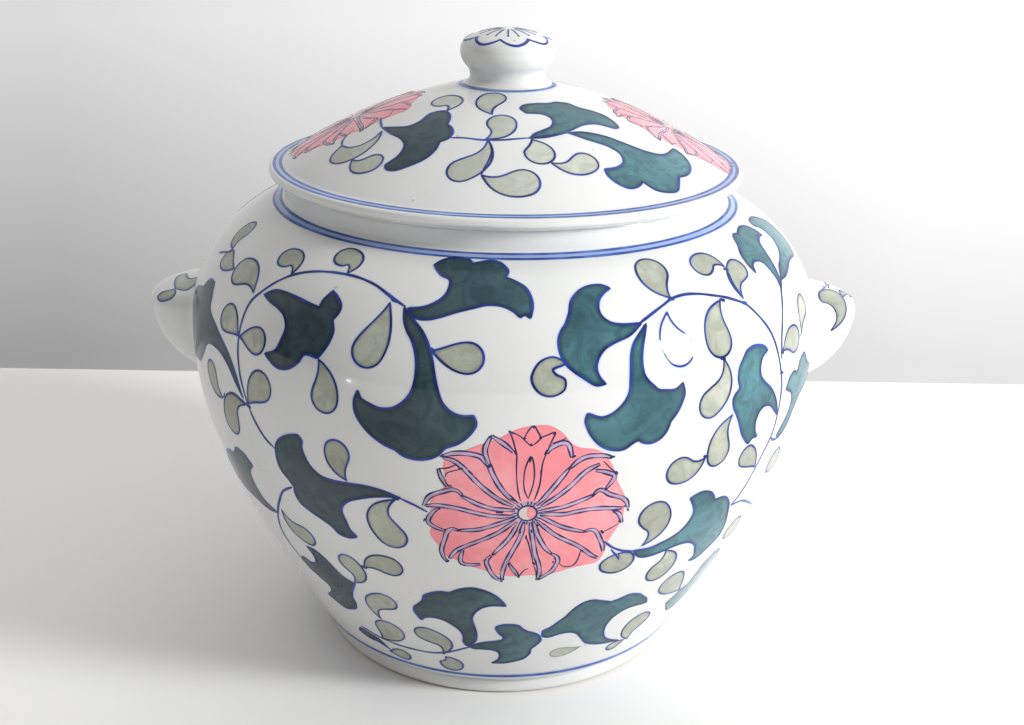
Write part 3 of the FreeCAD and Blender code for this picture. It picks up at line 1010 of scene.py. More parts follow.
# The lid, in plan
LID_LEAVES = [
    [
        (-38.3, -26.1, SHARP), (-34.7, -28.5), (-29.9, -30.6), (-26.3, -29.2), (-24.6, -26.8),
        (-23.4, -25.5, SHARP), (-21, -25.3), (-19, -25.9), (-17.5, -28.5), (-17.2, -31.3),
        (-17.9, -34.6, SHARP), (-16.5, -37.1), (-16.1, -40), (-17.4, -42.4), (-19.8, -43.4, SHARP),
        (-20.8, -46.7), (-23.2, -49.6), (-27, -51.3), (-32.8, -52), (-35.3, -50.3),
        (-35.7, -48.2, SHARP), (-32.3, -46), (-30.9, -43.8), (-30.4, -41), (-31.8, -37.1),
        (-35.2, -32.3),
    ],
    [
        (6.9, -43.6, SHARP), (8.2, -41.2), (11, -38.6), (13.4, -36.2), (14.1, -33.3),
        (13.3, -30.9), (11, -29.6), (5.8, -30, SHARP), (4.1, -27.2), (5.3, -24.8), (8.7, -23.2),
        (13.2, -21.4), (15.2, -19.5, SHARP), (19.2, -18.8), (22.1, -20), (27.9, -20),
        (30.8, -20.8), (33.7, -23.7), (34.5, -26.3), (33.2, -28, SHARP), (27.4, -28.7),
        (23.6, -31.2), (20.7, -34.7), (18.8, -37.1), (16, -39.6), (11.3, -42.3),
    ],
    [
        (18.3, -38.1, SHARP), (22.6, -36), (29.8, -34.8), (35.6, -35.2), (41.3, -35.3),
        (45.2, -34.3), (48.1, -32.3), (50, -29.4), (51.4, -26.1), (52.4, -24.1, SHARP),
        (54.8, -25.6), (56.7, -29.4), (56.5, -34.2), (54.8, -38.1), (52.2, -41.2, SHARP),
        (51.9, -44.5), (51, -48.7), (47.6, -51.5), (43.8, -52.6), (40.4, -51.3, SHARP),
        (38.7, -54.2), (36.1, -56.2), (32.7, -55.9), (29.9, -53.9), (29, -51.4, SHARP),
        (32.7, -48.9), (34.8, -45.5), (34.1, -42), (30.8, -40), (24, -39.3),
    ],
]
LID_BUDS = [
    ((-18.5, -26), (-19.6, -17.8), 4.0, -0.62),
    ((-4.4, -31.3), (-4.6, -20.8), 4.3, 0.3),
    ((-6.2, -44.3), (-1.5, -36.2), 4.4, -0.42),
    ((-5.5, -44.8), (-12.8, -57), 4.3, 0.4),
    ((-7, -59.5), (5.2, -62), 4.7, -0.35),
    ((7.5, -44), (9.8, -49.9), 4.5, 0.15),
    ((13, -53.3), (23.4, -50.4), 3.8, -0.42),
    ((-46.3, -39.6), (-40.2, -45.2), 3.7, -0.4),
]
LID_MOON = [
    (-50.8, -27.8, SHARP), (-53.2, -31), (-53.7, -34.5), (-51.6, -37.8), (-48.2, -39.3),
    (-44, -38.8), (-40.5, -36), (-38.7, -32.3), (-38.3, -28.5, SHARP), (-40.3, -31.3),
    (-44.3, -32.9), (-48.2, -31.3),
]
LID_VINES = [
    [(-17, -42), (-12.6, -43), (-7.3, -44.6), (-2, -44.9), (3.8, -44), (7.2, -43.2)],
    [(-49.5, -20), (-51, -24), (-50.8, -28)],
    [(-39.5, -17), (-39.3, -21), (-38.5, -26)],
    [(-5.2, -44.8), (-4.2, -50), (-7, -59.3)],
    [(8.5, -42.8), (13, -40.8), (18.5, -38)],
]
LID_FLOWERS = [(53.0, -1.5), (-49.0, -1.5)]
LID_FLOWER_R = 22.0

# The flower: its place on the wall, its size and its eye's
FLOWER_AT = (4.3, -24.0)
FLOWER_R = 29.5
FLOWER_EYE_R = 2.7
# How wide its lines are, in a flower of full size
VEIN_HALF, VEIN_FILL, VEIN_EDGE_WIDTH = 0.64, 1.9, 0.36
STROKE_WIDTH, SPOT_SHARE, WEDGE_WIDTH, EYE_RING_WIDTH, EYE_LINE_WIDTH = 0.4, 0.9, 0.62, 1.9, 0.5

# The flower's drawing, read as (x, y) from its centre. Veins are the petals' double lines.
FLOWER_VEINS = [
    # Top and upper left
    [(-10.3, 25.2), (-8.4, 23.9), (-6.3, 22.3), (-4.4, 20.4)],
    [(-10.5, 25), (-11.4, 23), (-12, 21), (-11.6, 18.4), (-10.8, 16), (-9.9, 13.4), (-8.6, 10.6),
     (-7.2, 8.2), (-5.4, 5.9), (-2.9, 3.4)],
    [(-23.7, 18.2), (-20.9, 19.3), (-18, 19.6), (-15.3, 19.4), (-13, 18.7), (-12, 17.2), (-11, 15.8)],
    [(-23.3, 17.8), (-20.6, 17.1), (-18.3, 15.4), (-16.3, 13.2), (-14.2, 10.6), (-12, 8.3),
     (-9.6, 6.1), (-7, 4.2), (-4, 2.5)],
    [(-24.8, 14.2), (-24.1, 11.9), (-23.2, 9.9), (-22.4, 8.4)],
    [(-18.3, 5.9), (-19.6, 7.3), (-21.3, 7.6), (-23.5, 6.8), (-25.9, 5.7), (-27.7, 4.4),
     (-28.8, 2.6), (-29.6, 0.9)],
    [(-18.3, 5.5), (-16.2, 4.3), (-14, 3.1), (-11.7, 2.2), (-9.3, 1.5), (-6.5, 1.3), (-3.6, 1.1)],
    [(-28.9, 1.1), (-26, 1.6), (-22.5, 1.5), (-19, 1), (-15.5, 0.1), (-12, -0.7), (-8.5, -1.2),
     (-4, -1)],
    # Lower left
    [(-25.6, 0.4), (-27, -1.2), (-28.2, -3.2), (-28.6, -4.8), (-27.6, -6.1), (-25.8, -7.1),
     (-23.9, -7.8)],
    [(-19.4, -7.2), (-16, -6.8), (-13.5, -6.3), (-11, -5.3), (-8.3, -4.1), (-5.8, -2.9),
     (-3.3, -1.6)],
    [(-19.7, -7.4), (-21.5, -6.7), (-23.2, -8.4), (-24, -11), (-24.8, -13.5), (-25.4, -16.2),
     (-25, -18.9), (-23.9, -21.2)],
    [(-23.2, -19.6), (-21.9, -17.2), (-20.4, -15.4), (-18.3, -13.8), (-15.7, -12.2), (-12.9, -10.6),
     (-10.5, -9.1), (-8.1, -7.4), (-5.8, -5.3), (-3.3, -2.8)],
    [(-18.9, -15.3), (-19.5, -18), (-19.7, -20.4), (-18.8, -21.5), (-16.5, -21.6), (-13.6, -21.2)],
    [(-9.7, -16.6), (-7.9, -14.1), (-6.5, -12.1), (-5.1, -9.9), (-4, -7.7), (-3.1, -5.3),
     (-2.3, -3.3)],
    [(-10.2, -17), (-11.7, -19.4), (-11.1, -22.6), (-10.2, -25), (-8.8, -27.2), (-6.7, -28.7)],
    [(-6.7, -28.3), (-6.8, -26), (-6.4, -23), (-5.7, -20.2), (-4.8, -17.6), (-3.8, -15),
     (-2.9, -12.6), (-2.1, -10.3), (-1.5, -7.9), (-1.1, -5.5), (-0.9, -3.3)],
    [(-4.6, -20.8), (-3.7, -22.7), (-2.7, -24.4), (-1.6, -26.4)],
    [(1.1, -3.4), (1.3, -6), (1.9, -9.5), (2.5, -13), (3.2, -16.8), (4.2, -20), (4.9, -23),
     (5, -26.5), (4.4, -28.5)],
    # Lower right
    [(4.8, -28.2), (7, -26.4), (8.9, -24.6), (10, -22.3), (10.5, -20), (9.6, -17.8), (8.1, -16.7)],
    [(8, -16.6), (6.6, -15), (5.4, -13), (4.3, -10.7), (3.3, -8.3), (2.5, -5.6), (1.8, -3.2)],
    [(23.4, -20.6), (20.8, -18.7), (18.1, -16), (15.5, -13.7), (12.6, -11.7), (9.8, -9.8),
     (7.4, -7.7), (5.3, -5.5), (3, -3)],
    [(17.4, -8.4), (18.9, -7.9), (20.5, -8.4), (21.8, -10.2), (22.8, -12.3), (23.8, -14.4),
     (24.4, -16.2), (24.8, -18)],
    [(17.3, -8.5), (15.3, -7.8), (12.9, -6.9), (10.3, -5.7), (7.7, -4.1), (5.3, -2.5), (3.6, -1.5)],
    [(25.4, -1.5), (27.2, -2.9), (28.3, -4.9), (28.9, -6.8)],
    [(3.6, -0.5), (7, -0.7), (10.8, -0.9), (14.1, -0.3), (17.6, 0.1), (21.2, 0), (24.7, -0.5),
     (28.1, -1)],
    # Right and upper right
    [(18.6, 5.2), (19.8, 6.6), (21.5, 6.3), (23, 5), (25, 4), (27.2, 3), (28.9, 1.4), (30, -1.4)],
    [(18.6, 5.1), (16, 4), (13.1, 2.8), (9.8, 1.7), (6.5, 1.1), (3.7, 0.7)],
    [(22, 7), (23.4, 8.8), (24.3, 11), (22.6, 12.1), (20.6, 12.9), (18.4, 13.4)],
    [(19.6, 15.4), (16.4, 13.9), (14.5, 12.2), (12.2, 9.5), (9.8, 7.1), (7, 4.7), (3.7, 2.3)],
    [(23, 17), (21, 17.8), (18.8, 18.1), (16.4, 18.2), (14.2, 17.5), (12.6, 16.3), (11.3, 14.9)],
    [(11, 14.8), (9.1, 12.1), (7.3, 9.4), (5.6, 7), (4, 4.7), (2.3, 3)],
    [(11.5, 18.2), (11.1, 20.4), (10.3, 22.4), (8.9, 22.9), (7.3, 22.4), (5.6, 21.3), (4.6, 19.8)],
]
FLOWER_STROKES = [
    [(-2.1, 4.4), (-2.9, 8.1), (-3.4, 12.9), (-3.5, 16.4), (-3.5, 19.7), (-4.1, 22.2), (-4.8, 24.8),
     (-5.6, 26.7)],
    [(-5.6, 26.7), (-4, 26), (-2.3, 24.9), (-1.1, 23.6), (0.3, 22.2)],
    [(0.3, 22.2), (1.7, 23.2), (2.8, 24.7), (2, 26.5), (0.9, 28.3), (-0.4, 27), (-1.5, 24.9)],
    [(2.8, 24.7), (4.6, 25.4), (6.8, 26.2), (5.8, 23.5), (5, 21.3), (4.2, 19), (3.6, 17), (3.3, 13.5),
     (3.1, 10.5), (2.5, 7.4), (1.7, 4.6)],
    [(0, 5.2), (-1.1, 8.1), (-1.4, 11.7), (-1.1, 15.2), (-0.4, 17.6), (0.35, 19.2), (1.05, 17.4),
     (1.4, 14.5), (1.4, 11.7), (0.8, 8.1), (0, 5.2)],
    [(-18.3, 14.6), (-20.7, 13.8), (-22.4, 13), (-22.9, 11.7)],
    [(-24.8, 14.2), (-22, 14.7), (-20, 15.8)],
    [(9.8, 24.2), (8, 23.5), (6, 22.9)],
    [(20.6, 16.2), (23, 13.4), (24.8, 11.9)],
    [(11.2, -21.4), (12.3, -22.6), (14.1, -23.2), (16, -22.5), (16.8, -20.7), (17.2, -18.3),
     (17.4, -16)],
    [(0.1, -9.4), (0.9, -12), (1.6, -15), (2.3, -17.9), (2.7, -20.4)],
    [(-1.4, -27), (-0.6, -24.9), (0.3, -23.6), (1.3, -22.8)],
    [(3, -21.6), (3.9, -24.2), (4.2, -26.6), (4.4, -28.6)],
    [(27.9, -6.8), (26, -8.2), (23.6, -9.3)],
]
# Dark touches of the brush: two ends and a width
FLOWER_SPOTS = [
    ((-4.2, 21), (-3.6, 19.6), 0.9), ((-5.8, 26.7), (-4.4, 26), 1.1), ((0.2, 23), (0.5, 22.3), 1.1),
    ((0.1, 17.2), (0.4, 19), 1.0), ((2.6, 24.9), (3.1, 24.3), 1.0), ((0.6, 28.1), (1.1, 27.5), 0.8),
    ((-10.9, 24.6), (-10.2, 25.4), 0.9), ((-11.4, 15.4), (-10.4, 16.4), 1.5),
    ((-1.7, 24.9), (-1.2, 24.4), 1.0), ((-24.1, 18.2), (-22.9, 18.2), 1.2),
    ((-19.2, 14.7), (-17.9, 14.8), 1.1), ((-16.5, 14.3), (-15.3, 13), 0.9),
    ((-20.3, 16.3), (-19.6, 15.7), 0.9), ((-22.1, 9), (-21.1, 8.7), 1.0),
    ((-18.8, 5.8), (-17.9, 5.6), 1.4), ((-28.2, 4.8), (-27, 5.9), 0.9), ((-25.4, 0.8), (-24.7, 0.2), 1.1),
    ((-29.9, -5), (-29.5, -3.8), 0.9), ((-20.1, -7.5), (-19.2, -7), 1.3),
    ((-24, -7.6), (-23.4, -7.2), 1.3), ((-24.4, -21.2), (-23.4, -20.3), 1.3),
    ((-19.9, -21.8), (-18.4, -21.9), 1.0), ((-20.6, -16.1), (-19, -15.1), 0.9),
    ((-9.9, -17), (-9.3, -16.2), 1.5), ((-12.5, -19.8), (-11.8, -18.6), 0.9),
    ((-4.9, -21.2), (-4.4, -20), 1.1), ((-7.3, -28.9), (-6.5, -29), 0.9),
    ((-1.8, -26.6), (-1.1, -27), 1.1), ((0, -8.6), (0.1, -10.2), 1.1), ((-2.1, -6.2), (-1.7, -7.6), 1.0),
    ((1.4, -6.2), (1.6, -7.6), 1.0), ((2.6, -20), (3.3, -21.4), 1.1), ((9, -20), (9.2, -21), 1.0),
    ((7.8, -16.8), (8.4, -17), 1.2), ((16, -22.4), (16.3, -21.8), 0.8), ((17.6, -16.3), (18.1, -17), 1.1),
    ((17.1, -8.8), (17.6, -8.2), 1.5), ((22.6, -8.8), (23.6, -10.2), 1.2),
    ((27.7, -6.4), (27.9, -5.9), 1.1), ((24.7, -1.1), (26.6, -2), 1.2), ((28.3, -0.6), (29.3, -0.3), 1.1),
    ((29.9, -1.6), (30.2, -2.6), 0.9), ((18.2, 4.6), (19, 5.6), 1.6), ((21.8, 6.3), (22.3, 7.2), 1.3),
    ((24.3, 12.3), (24.9, 11.3), 1.6), ((22.2, 17), (23.8, 17.3), 1.1), ((10.6, 14.4), (11.5, 15.4), 1.6),
    ((11.4, 18.2), (12.6, 18.7), 1.4), ((4.1, 19.4), (4.8, 21), 1.1), ((3.2, 13.4), (3.3, 14.8), 0.9),
    ((6.4, 22.8), (8.6, 23.7), 0.8), ((6.2, 25.4), (6.7, 26.1), 0.8), ((-8.9, 0.3), (-6.8, 0.3), 0.9),
    ((-3.6, 4.4), (-5, 5.4), 0.8), ((4.6, -4), (5.4, -4.6), 0.9), ((2.9, -4.2), (3.3, -5), 0.9),
]
# Where the flower's wash ends
FLOWER_WASH = [
    (-1, 28), (5, 28.2), (8.6, 26), (11.5, 22.4), (14, 21), (17.6, 20.3), (20.4, 18.8), (22.6, 15.8),
    (24, 13), (25.2, 9.3), (26.8, 6), (28.6, 2.4), (28.8, -2), (28.6, -5.5), (27.8, -8.4),
    (26.6, -11.2), (25.6, -14.5), (25.2, -19), (23.6, -22.4), (19.6, -23.2), (14.8, -24),
    (10.8, -25.3), (6.5, -26.4), (2.2, -26), (-2, -26.4), (-5.6, -26.2), (-9.2, -25.4),
    (-13.4, -23.4), (-17, -22.2), (-21, -19.8), (-24.2, -18.4), (-25.6, -15), (-27.2, -12.5),
    (-28.4, -9.5), (-27.4, -5.4), (-27.4, -1), (-27.3, 2.8), (-25.4, 6), (-23.2, 8.6), (-22.8, 11.5),
    (-23.4, 14.8), (-22.6, 17.6), (-19.6, 19.4), (-16.6, 21), (-13.2, 22.6), (-10.2, 23.7),
    (-7.6, 25), (-4.6, 26.8),
]
EYE_BLUSH = [(0.3, 2.4), (1.6, 1.9), (2.3, 0.4), (2, -1.2), (1, -2.2), (0.1, -1.4), (-0.2, 0.4)]

# The bands, by run on the wall and by radius on the lid
NECK_LINES = (55.3, 57.6)
FOOT_BAND = -109.6
LID_LINES = (73.7, 75.7)
KNOB_LINE_R = 15.2
KNOB_LOBES, KNOB_LOBE_R, KNOB_CUSP_R, KNOB_FIRST_CUSP = 8, 14.2, 11.4, -12.0


def paint_flower(brush, surface, centre, mm_across, size, turn=0.0):
    """A chrysanthemum. turn, in degrees, is how far it is turned clockwise."""
    k = size / FLOWER_R
    angle = math.radians(turn)
    spin = np.array([[math.cos(angle), -math.sin(angle)], [math.sin(angle), math.cos(angle)]]) * k

    def place(points):
        return np.asarray(points, float) @ spin / (mm_across, 1) + centre

    wash = place(outline(FLOWER_WASH, 1.0, 1.0))
    brush.kinds["rose"].patch(surface, wash, WASH_LIFT)
    for points in FLOWER_VEINS:
        brush.vein(surface, place, points, k)
    for points in FLOWER_STROKES:
        line = place(resample(spline(points, LINE_STEP), 1.0, LINE_STEP))
        brush.line(surface, line, STROKE_WIDTH * k, ends=0.6, halo=0, kind="ink")
    for first, last, width in FLOWER_SPOTS:
        touch = place(spline([first, last], 0.4))
        brush.line(surface, touch, width * k * SPOT_SHARE, ends=0.5, halo=0, kind="ink")
    turns = np.linspace(0, 2 * math.pi, 25)[:-1]
    ring = np.stack([np.sin(turns), np.cos(turns)], 1)
    eye = place(FLOWER_EYE_R * ring)
    around = place((FLOWER_EYE_R + 0.8) * ring)
    widths = np.full(len(around), EYE_RING_WIDTH * k)
    brush.kinds["veins"].strip(surface, around, widths, VEIN_LIFT - 0.005, True, False)
    for out in np.vstack([ring[::2], ring[1::4]]):
        wedge = [out * (FLOWER_EYE_R + 0.2), out * (FLOWER_EYE_R + 1.5)]
        brush.line(surface, place(spline(wedge, 0.4)), WEDGE_WIDTH * k, ends=0.5, halo=0, kind="ink")
    brush.kinds["bare"].patch(surface, eye, VEIN_LIFT)
    brush.kinds["rose"].patch(surface, place(outline(EYE_BLUSH, 1.0)), LINE_LIFT)
    brush.line(surface, eye, EYE_LINE_WIDTH * k, closed=True, halo=0, kind="ink")


def paint_wall(brush, surface, turn):
    """The scroll on half of the wall. turn is the azimuth that its middle is moved to."""

    def moved(points):
        return [(p[0] + turn, *p[1:]) for p in points]

    def drop(bud):
        tip, head, radius, bend = bud
        r = float(np.interp(head[1], RUN, RUN_R))
        loop = bud_outline(tip, head, radius, bend, math.radians(1) * r)
        return loop + (turn, 0)

    for points in WALL_LEAVES:
        brush.leaf(surface, moved(points))
    for bud in WALL_BUDS:
        brush.bud(surface, drop(bud))
    brush.line(surface, drop(PALE_BUD), 0.45, closed=True, halo=1.6)
    brush.bud(surface, drop(BARE_BUD), 0)
    brush.bud(surface, outline(moved(CURLED_BUD), surface.scale))
    brush.bud(surface, outline(moved(NOTCHED_BUD), surface.scale))
    brush.curve(surface, moved(NOTCH[:3]), 0.6)
    brush.curve(surface, moved(NOTCH[2:]), 0.6)
    for points in WALL_VINES:
        brush.curve(surface, moved(points), 0.8)
    for place in SPOTS:
        spot = [(place[0] + turn - 0.6, place[1] + 0.4), (place[0] + turn + 0.6, place[1] - 0.4)]
        brush.curve(surface, spot, 1.6, ends=0.5)
    r = float(np.interp(FLOWER_AT[1], RUN, RUN_R))
    centre = (FLOWER_AT[0] + turn, FLOWER_AT[1])
    paint_flower(brush, surface, centre, math.radians(1) * r, FLOWER_R)


def paint_lid(brush, surface, half):
    """Half of the lid's scroll. half is 1 for the front and -1 for the back."""

    def moved(points):
        return [(p[0] * half, p[1] * half, *p[2:]) for p in points]

    for points in LID_LEAVES:
        brush.leaf(surface, moved(points), 0.66)
    for tip, head, radius, bend in LID_BUDS:
        brush.bud(surface, bud_outline(tip, head, radius, bend, 1.0) * half, 0.6, kind="pale")
    brush.bud(surface, outline(moved(LID_MOON), 1.0), 0.6, kind="pale")
    for points in LID_VINES:
        brush.curve(surface, moved(points), 0.72)


def paint_knob(brush, surface):
    """Eight scalloped petals with two short strokes in each."""
    angle = np.radians(np.arange(0, 360, 1.5))
    cusp = math.radians(KNOB_FIRST_CUSP)
    swell = np.abs(np.sin((angle - cusp) * KNOB_LOBES / 2)) ** 0.7
    radius = KNOB_CUSP_R + (KNOB_LOBE_R - KNOB_CUSP_R) * swell
    scallops = np.stack([radius * np.sin(angle), -radius * np.cos(angle)], 1)
    brush.line(surface, scallops, 0.85, closed=True, halo=1.2)
    for n in range(KNOB_LOBES):
        for side in (-0.13, 0.13):
            way = cusp + (n + 0.5) * 2 * math.pi / KNOB_LOBES + side * 1.4
            stroke = [(r * math.sin(way), -r * math.cos(way)) for r in (2.4, 5.5, 8.6)]
            brush.curve(surface, stroke, 0.6, halo=0.6)
            brush.curve(surface, [stroke[2], (stroke[2][0] * 1.12, stroke[2][1] * 1.12)], 1.0, halo=0.6)


def paint_bands(jar, cover, wall, dome):
    """The blue bands at the neck, at the foot, round the lid and under the knob."""
    for run in NECK_LINES:
        jar.ring(wall, run, 0.95)
    jar.ring(wall, sum(NECK_LINES) / 2, 4.2, "bands")
    jar.ring(wall, FOOT_BAND, 1.4)
    jar.ring(wall, FOOT_BAND, 4.2, "bands")
    angle = np.radians(np.arange(0, 360, 1.0))
    middle = sum(LID_LINES) / 2
    for kind, r, width, lift in (
        ("bands", middle, 2.9, WASH_LIFT),
        ("rings", LID_LINES[0], 1.0, LINE_LIFT),
        ("rings", LID_LINES[1], 1.0, LINE_LIFT),
        ("bands", KNOB_LINE_R + 0.5, 2.6, WASH_LIFT),
        ("rings", KNOB_LINE_R, 1.2, LINE_LIFT),
    ):
        line = np.stack([r * np.sin(angle), -r * np.cos(angle)], 1)
        wander = 1 + 0.1 * np.sin(angle * 5) + 0.05 * np.sin(angle * 13 + 1)
        cover.kinds[kind].strip(dome, line, width * wander, lift, True, kind == "bands")


# The lugs' buds, as the camera sees them, in millimetres right and up of each lug's centre
LUG_CENTRE = (110.0, 0.0, 117.5)
LEFT_LUG_BUDS = [
    [
        (-2.7, 1.3, SHARP), (-3, 3.2), (-2.3, 5.2), (-0.4, 6.2), (1.1, 6.5, SHARP), (1.1, 5.7),
        (1.9, 4.8), (3.1, 4.8), (5.2, 5.2, SHARP), (4.5, 3.4), (3.1, 1.9), (1, 0.7), (-1.2, 0.9),
    ],
    [
        (-3, 1.2, SHARP), (-5.5, 0.6), (-7.7, -0.2), (-8.8, -1.6), (-8, -3), (-5.8, -2.7),
        (-3.9, -1.9), (-2.7, -0.2),
    ],
]
RIGHT_LUG_BUDS = [
    [
        (0.7, 4.7, SHARP), (-1.2, 3.9), (-1.5, 2.4), (-0.4, 0.4), (1.9, -0.3), (3.8, -2), (4.6, -4.2),
        (4.4, -6.4), (2.6, -9.6, SHARP), (5.3, -7.6), (7.1, -5.3), (7.9, -2.1), (7.3, 0.8), (5.5, 3.1),
        (3, 4.5),
    ],
    [
        (6.8, 2.1), (5.6, 3.9), (5.9, 5.3), (8.5, 5.9), (10.8, 5), (11.3, 3.6), (9.9, 2.9), (7.6, 2.9),
    ],
]
RIGHT_LUG_STROKES = [
    [(0.2, 8.6), (1.2, 6.1), (3.4, 7.9)],
    [(1.1, 6), (0.1, 5), (-1.1, 4.1)],
]


def paint_lug(brush, surface, buds, strokes=()):
    for points in buds:
        brush.bud(surface, outline(points, 1.0, 0.4), 0.5, step=0.5)
    for points in strokes:
        brush.curve(surface, points, 0.6)


# Materials


def linear(code):
    """An sRGB hex code as linear RGBA."""
    channels = [int(code[k : k + 2], 16) / 255 for k in (1, 3, 5)]
    return (*[c / 12.92 if c <= 0.04045 else ((c + 0.055) / 1.055) ** 2.4 for c in channels], 1.0)


PORCELAIN = (0.80, 0.80, 0.785, 1.0)
# Over what x, in metres, the leaves' wash turns from its left to its right colours: from painted shade on
# the jar's left to painted light on its right
WASH_SHADE_TO_LIGHT_X = (-0.035, 0.05)


class Nodes:
    """A small helper that adds and joins shader nodes."""

    def __init__(self, name):
        self.material = bpy.data.materials.new(name)
        self.material.use_nodes = True
        self.tree = self.material.node_tree
        self.shader = self.tree.nodes["Principled BSDF"]
        self.coordinates = self.add("ShaderNodeTexCoord").outputs["Object"]

    def add(self, kind, inputs=(), **settings):
        node = self.tree.nodes.new(kind)
        for key, value in settings.items():
            setattr(node, key, value)
        for key, value in dict(inputs).items():
            if isinstance(value, bpy.types.NodeSocket):
                self.tree.links.new(value, node.inputs[key])
            else:
                node.inputs[key].default_value = value
        return node

    def noise(self, scale, detail=3.0, roughness=0.55, distortion=0.0):
        inputs = {
            "Vector": self.coordinates,
            "Scale": scale,
            "Detail": detail,
            "Roughness": roughness,
            "Distortion": distortion,
        }
        return self.add("ShaderNodeTexNoise", inputs).outputs["Fac"]

    def spread(self, value, low, high, to_low=0.0, to_high=1.0):
        inputs = {
            "Value": value,
            "From Min": low,
            "From Max": high,
            "To Min": to_low,
            "To Max": to_high,
        }
        return self.add("ShaderNodeMapRange", inputs, interpolation_type="SMOOTHSTEP").outputs[0]

    def mix(self, share, first, second, kind="MIX"):
        node = self.add("ShaderNodeMix", data_type="RGBA", blend_type=kind)
        for socket, value in ((node.inputs[0], share), (node.inputs[6], first), (node.inputs[7], second)):
            if isinstance(value, bpy.types.NodeSocket):
                self.tree.links.new(value, socket)
            else:
                socket.default_value = value
        return node.outputs[2]

    def times(self, first, second):
        node = self.add("ShaderNodeMath", operation="MULTIPLY")
        for socket, value in zip(node.inputs, (first, second)):
            if isinstance(value, bpy.types.NodeSocket):
                self.tree.links.new(value, socket)
            else:
                socket.default_value = value
        return node.outputs[0]

    def shade(self):
        return self.add("ShaderNodeAttribute", attribute_name="shade").outputs["Fac"]

    def link(self, value, socket):
        self.tree.links.new(value, self.shader.inputs[socket])


def porcelain_colour(nodes):
    """White body under a faintly grey glaze, with pale clouds and a few kiln specks."""
    cloud = nodes.spread(nodes.noise(22, 2), 0.35, 0.7)
    colour = nodes.mix(cloud, PORCELAIN, (0.77, 0.775, 0.765, 1.0))
    specks = nodes.add("ShaderNodeTexVoronoi", {"Vector": nodes.coordinates, "Scale": 140.0})
    speck = nodes.spread(specks.outputs["Distance"], 0.05, 0.075, 1.0, 0.0)
    rare = nodes.spread(nodes.noise(60, 1), 0.60, 0.63)
    return nodes.mix(nodes.times(nodes.times(speck, rare), 0.5), colour, (0.33, 0.30, 0.25, 1.0))


def glaze(nodes, colour, roughness=0.07):
    """A clear gloss glaze over a colour, with the soft unevenness of a fired surface."""
    nodes.link(colour, "Base Color")
    shader = nodes.shader
    shader.inputs["IOR"].default_value = 1.5
    shader.inputs["Coat Weight"].default_value = 0.0
    shader.inputs["Subsurface Weight"].default_value = 0.0
    rough = nodes.spread(nodes.noise(70, 3), 0.3, 0.75, roughness, roughness + 0.07)
    nodes.link(rough, "Roughness")
    inputs = {"Strength": 0.35, "Distance": 0.00012, "Height": nodes.noise(300, 2, 0.5)}
    fine = nodes.add("ShaderNodeBump", inputs).outputs["Normal"]
    inputs = {"Strength": 0.5, "Distance": 0.0006, "Height": nodes.noise(45, 2, 0.4), "Normal": fine}
    nodes.link(nodes.add("ShaderNodeBump", inputs).outputs["Normal"], "Normal")
    return nodes.material


def make_porcelain():
    nodes = Nodes("porcelain_glaze")
    return glaze(nodes, porcelain_colour(nodes))


def make_biscuit():
    """The unglazed foot ring."""
    nodes = Nodes("bare_foot")
    colour = nodes.mix(nodes.noise(300, 4), (0.74, 0.71, 0.66, 1.0), (0.66, 0.62, 0.56, 1.0))
    nodes.link(colour, "Base Color")
    nodes.shader.inputs["Roughness"].default_value = 0.75
    inputs = {"Strength": 0.4, "Distance": 0.0002, "Height": nodes.noise(900, 3)}
    nodes.link(nodes.add("ShaderNodeBump", inputs).outputs["Normal"], "Normal")
    return nodes.material


def make_wash(name, left, right, edge_mm):
    """A brushed enamel wash: darker where it pools at the edges, streaked and thin in places.

    left and right are its deep, middle and thin colours at the jar's two sides. The darker, greyer left
    set is painted shade and the brighter teal right set is painted light, since the jar is lit from the
    right.
    """
    nodes = Nodes(name)
    pool = nodes.spread(nodes.shade(), 0.0, edge_mm, 1.0, 0.0)
    streak = nodes.spread(nodes.noise(150, 4, 0.6, 1.4), 0.38, 0.68)
    drift = nodes.spread(nodes.noise(38, 2), 0.35, 0.65)

    def brushed(deep, middle, thin):
        body = nodes.mix(drift, linear(middle), linear(thin))
        body = nodes.mix(nodes.times(streak, 0.45), body, linear(deep))
        return nodes.mix(nodes.times(pool, 0.75), body, linear(deep))

    colour = brushed(*left)
    if right:
        # Across the jar the wash turns from its shaded to its lit colours: painted shade on the left,
        # painted light on the right
        split = nodes.add("ShaderNodeSeparateXYZ", {"Vector": nodes.coordinates})
        share = nodes.spread(split.outputs["X"], *WASH_SHADE_TO_LIGHT_X)
        colour = nodes.mix(share, colour, brushed(*right))
    return glaze(nodes, colour)


def make_line(name, dark, light):
    nodes = Nodes(name)
    ink = nodes.spread(nodes.noise(120, 3), 0.35, 0.7)
    return glaze(nodes, nodes.mix(ink, linear(dark), linear(light)))


def make_halo(name, tint, strength):
    """Blue that has crept into the glaze beside a line, fading out to bare porcelain."""
    nodes = Nodes(name)
    creep = nodes.spread(nodes.shade(), 0.0, 1.0, 0.0, strength)
    return glaze(nodes, nodes.mix(creep, porcelain_colour(nodes), linear(tint)))


# The object


def make_piece(name, section, node, body, material, steps=LATHE_STEPS):
    points, faces = lathe(section, steps)
    piece = make_mesh(name, points, faces)
    fix_normals(piece)
    piece.data.materials.append(material)
    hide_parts(node)
    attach(piece, body)
    return piece


def fix_normals(piece):
    """Turns the faces of a closed mesh to look outwards."""
    work = bmesh.new()
    work.from_mesh(piece.data)
    bmesh.ops.recalc_face_normals(work, faces=work.faces)
    work.to_mesh(piece.data)
    work.free()


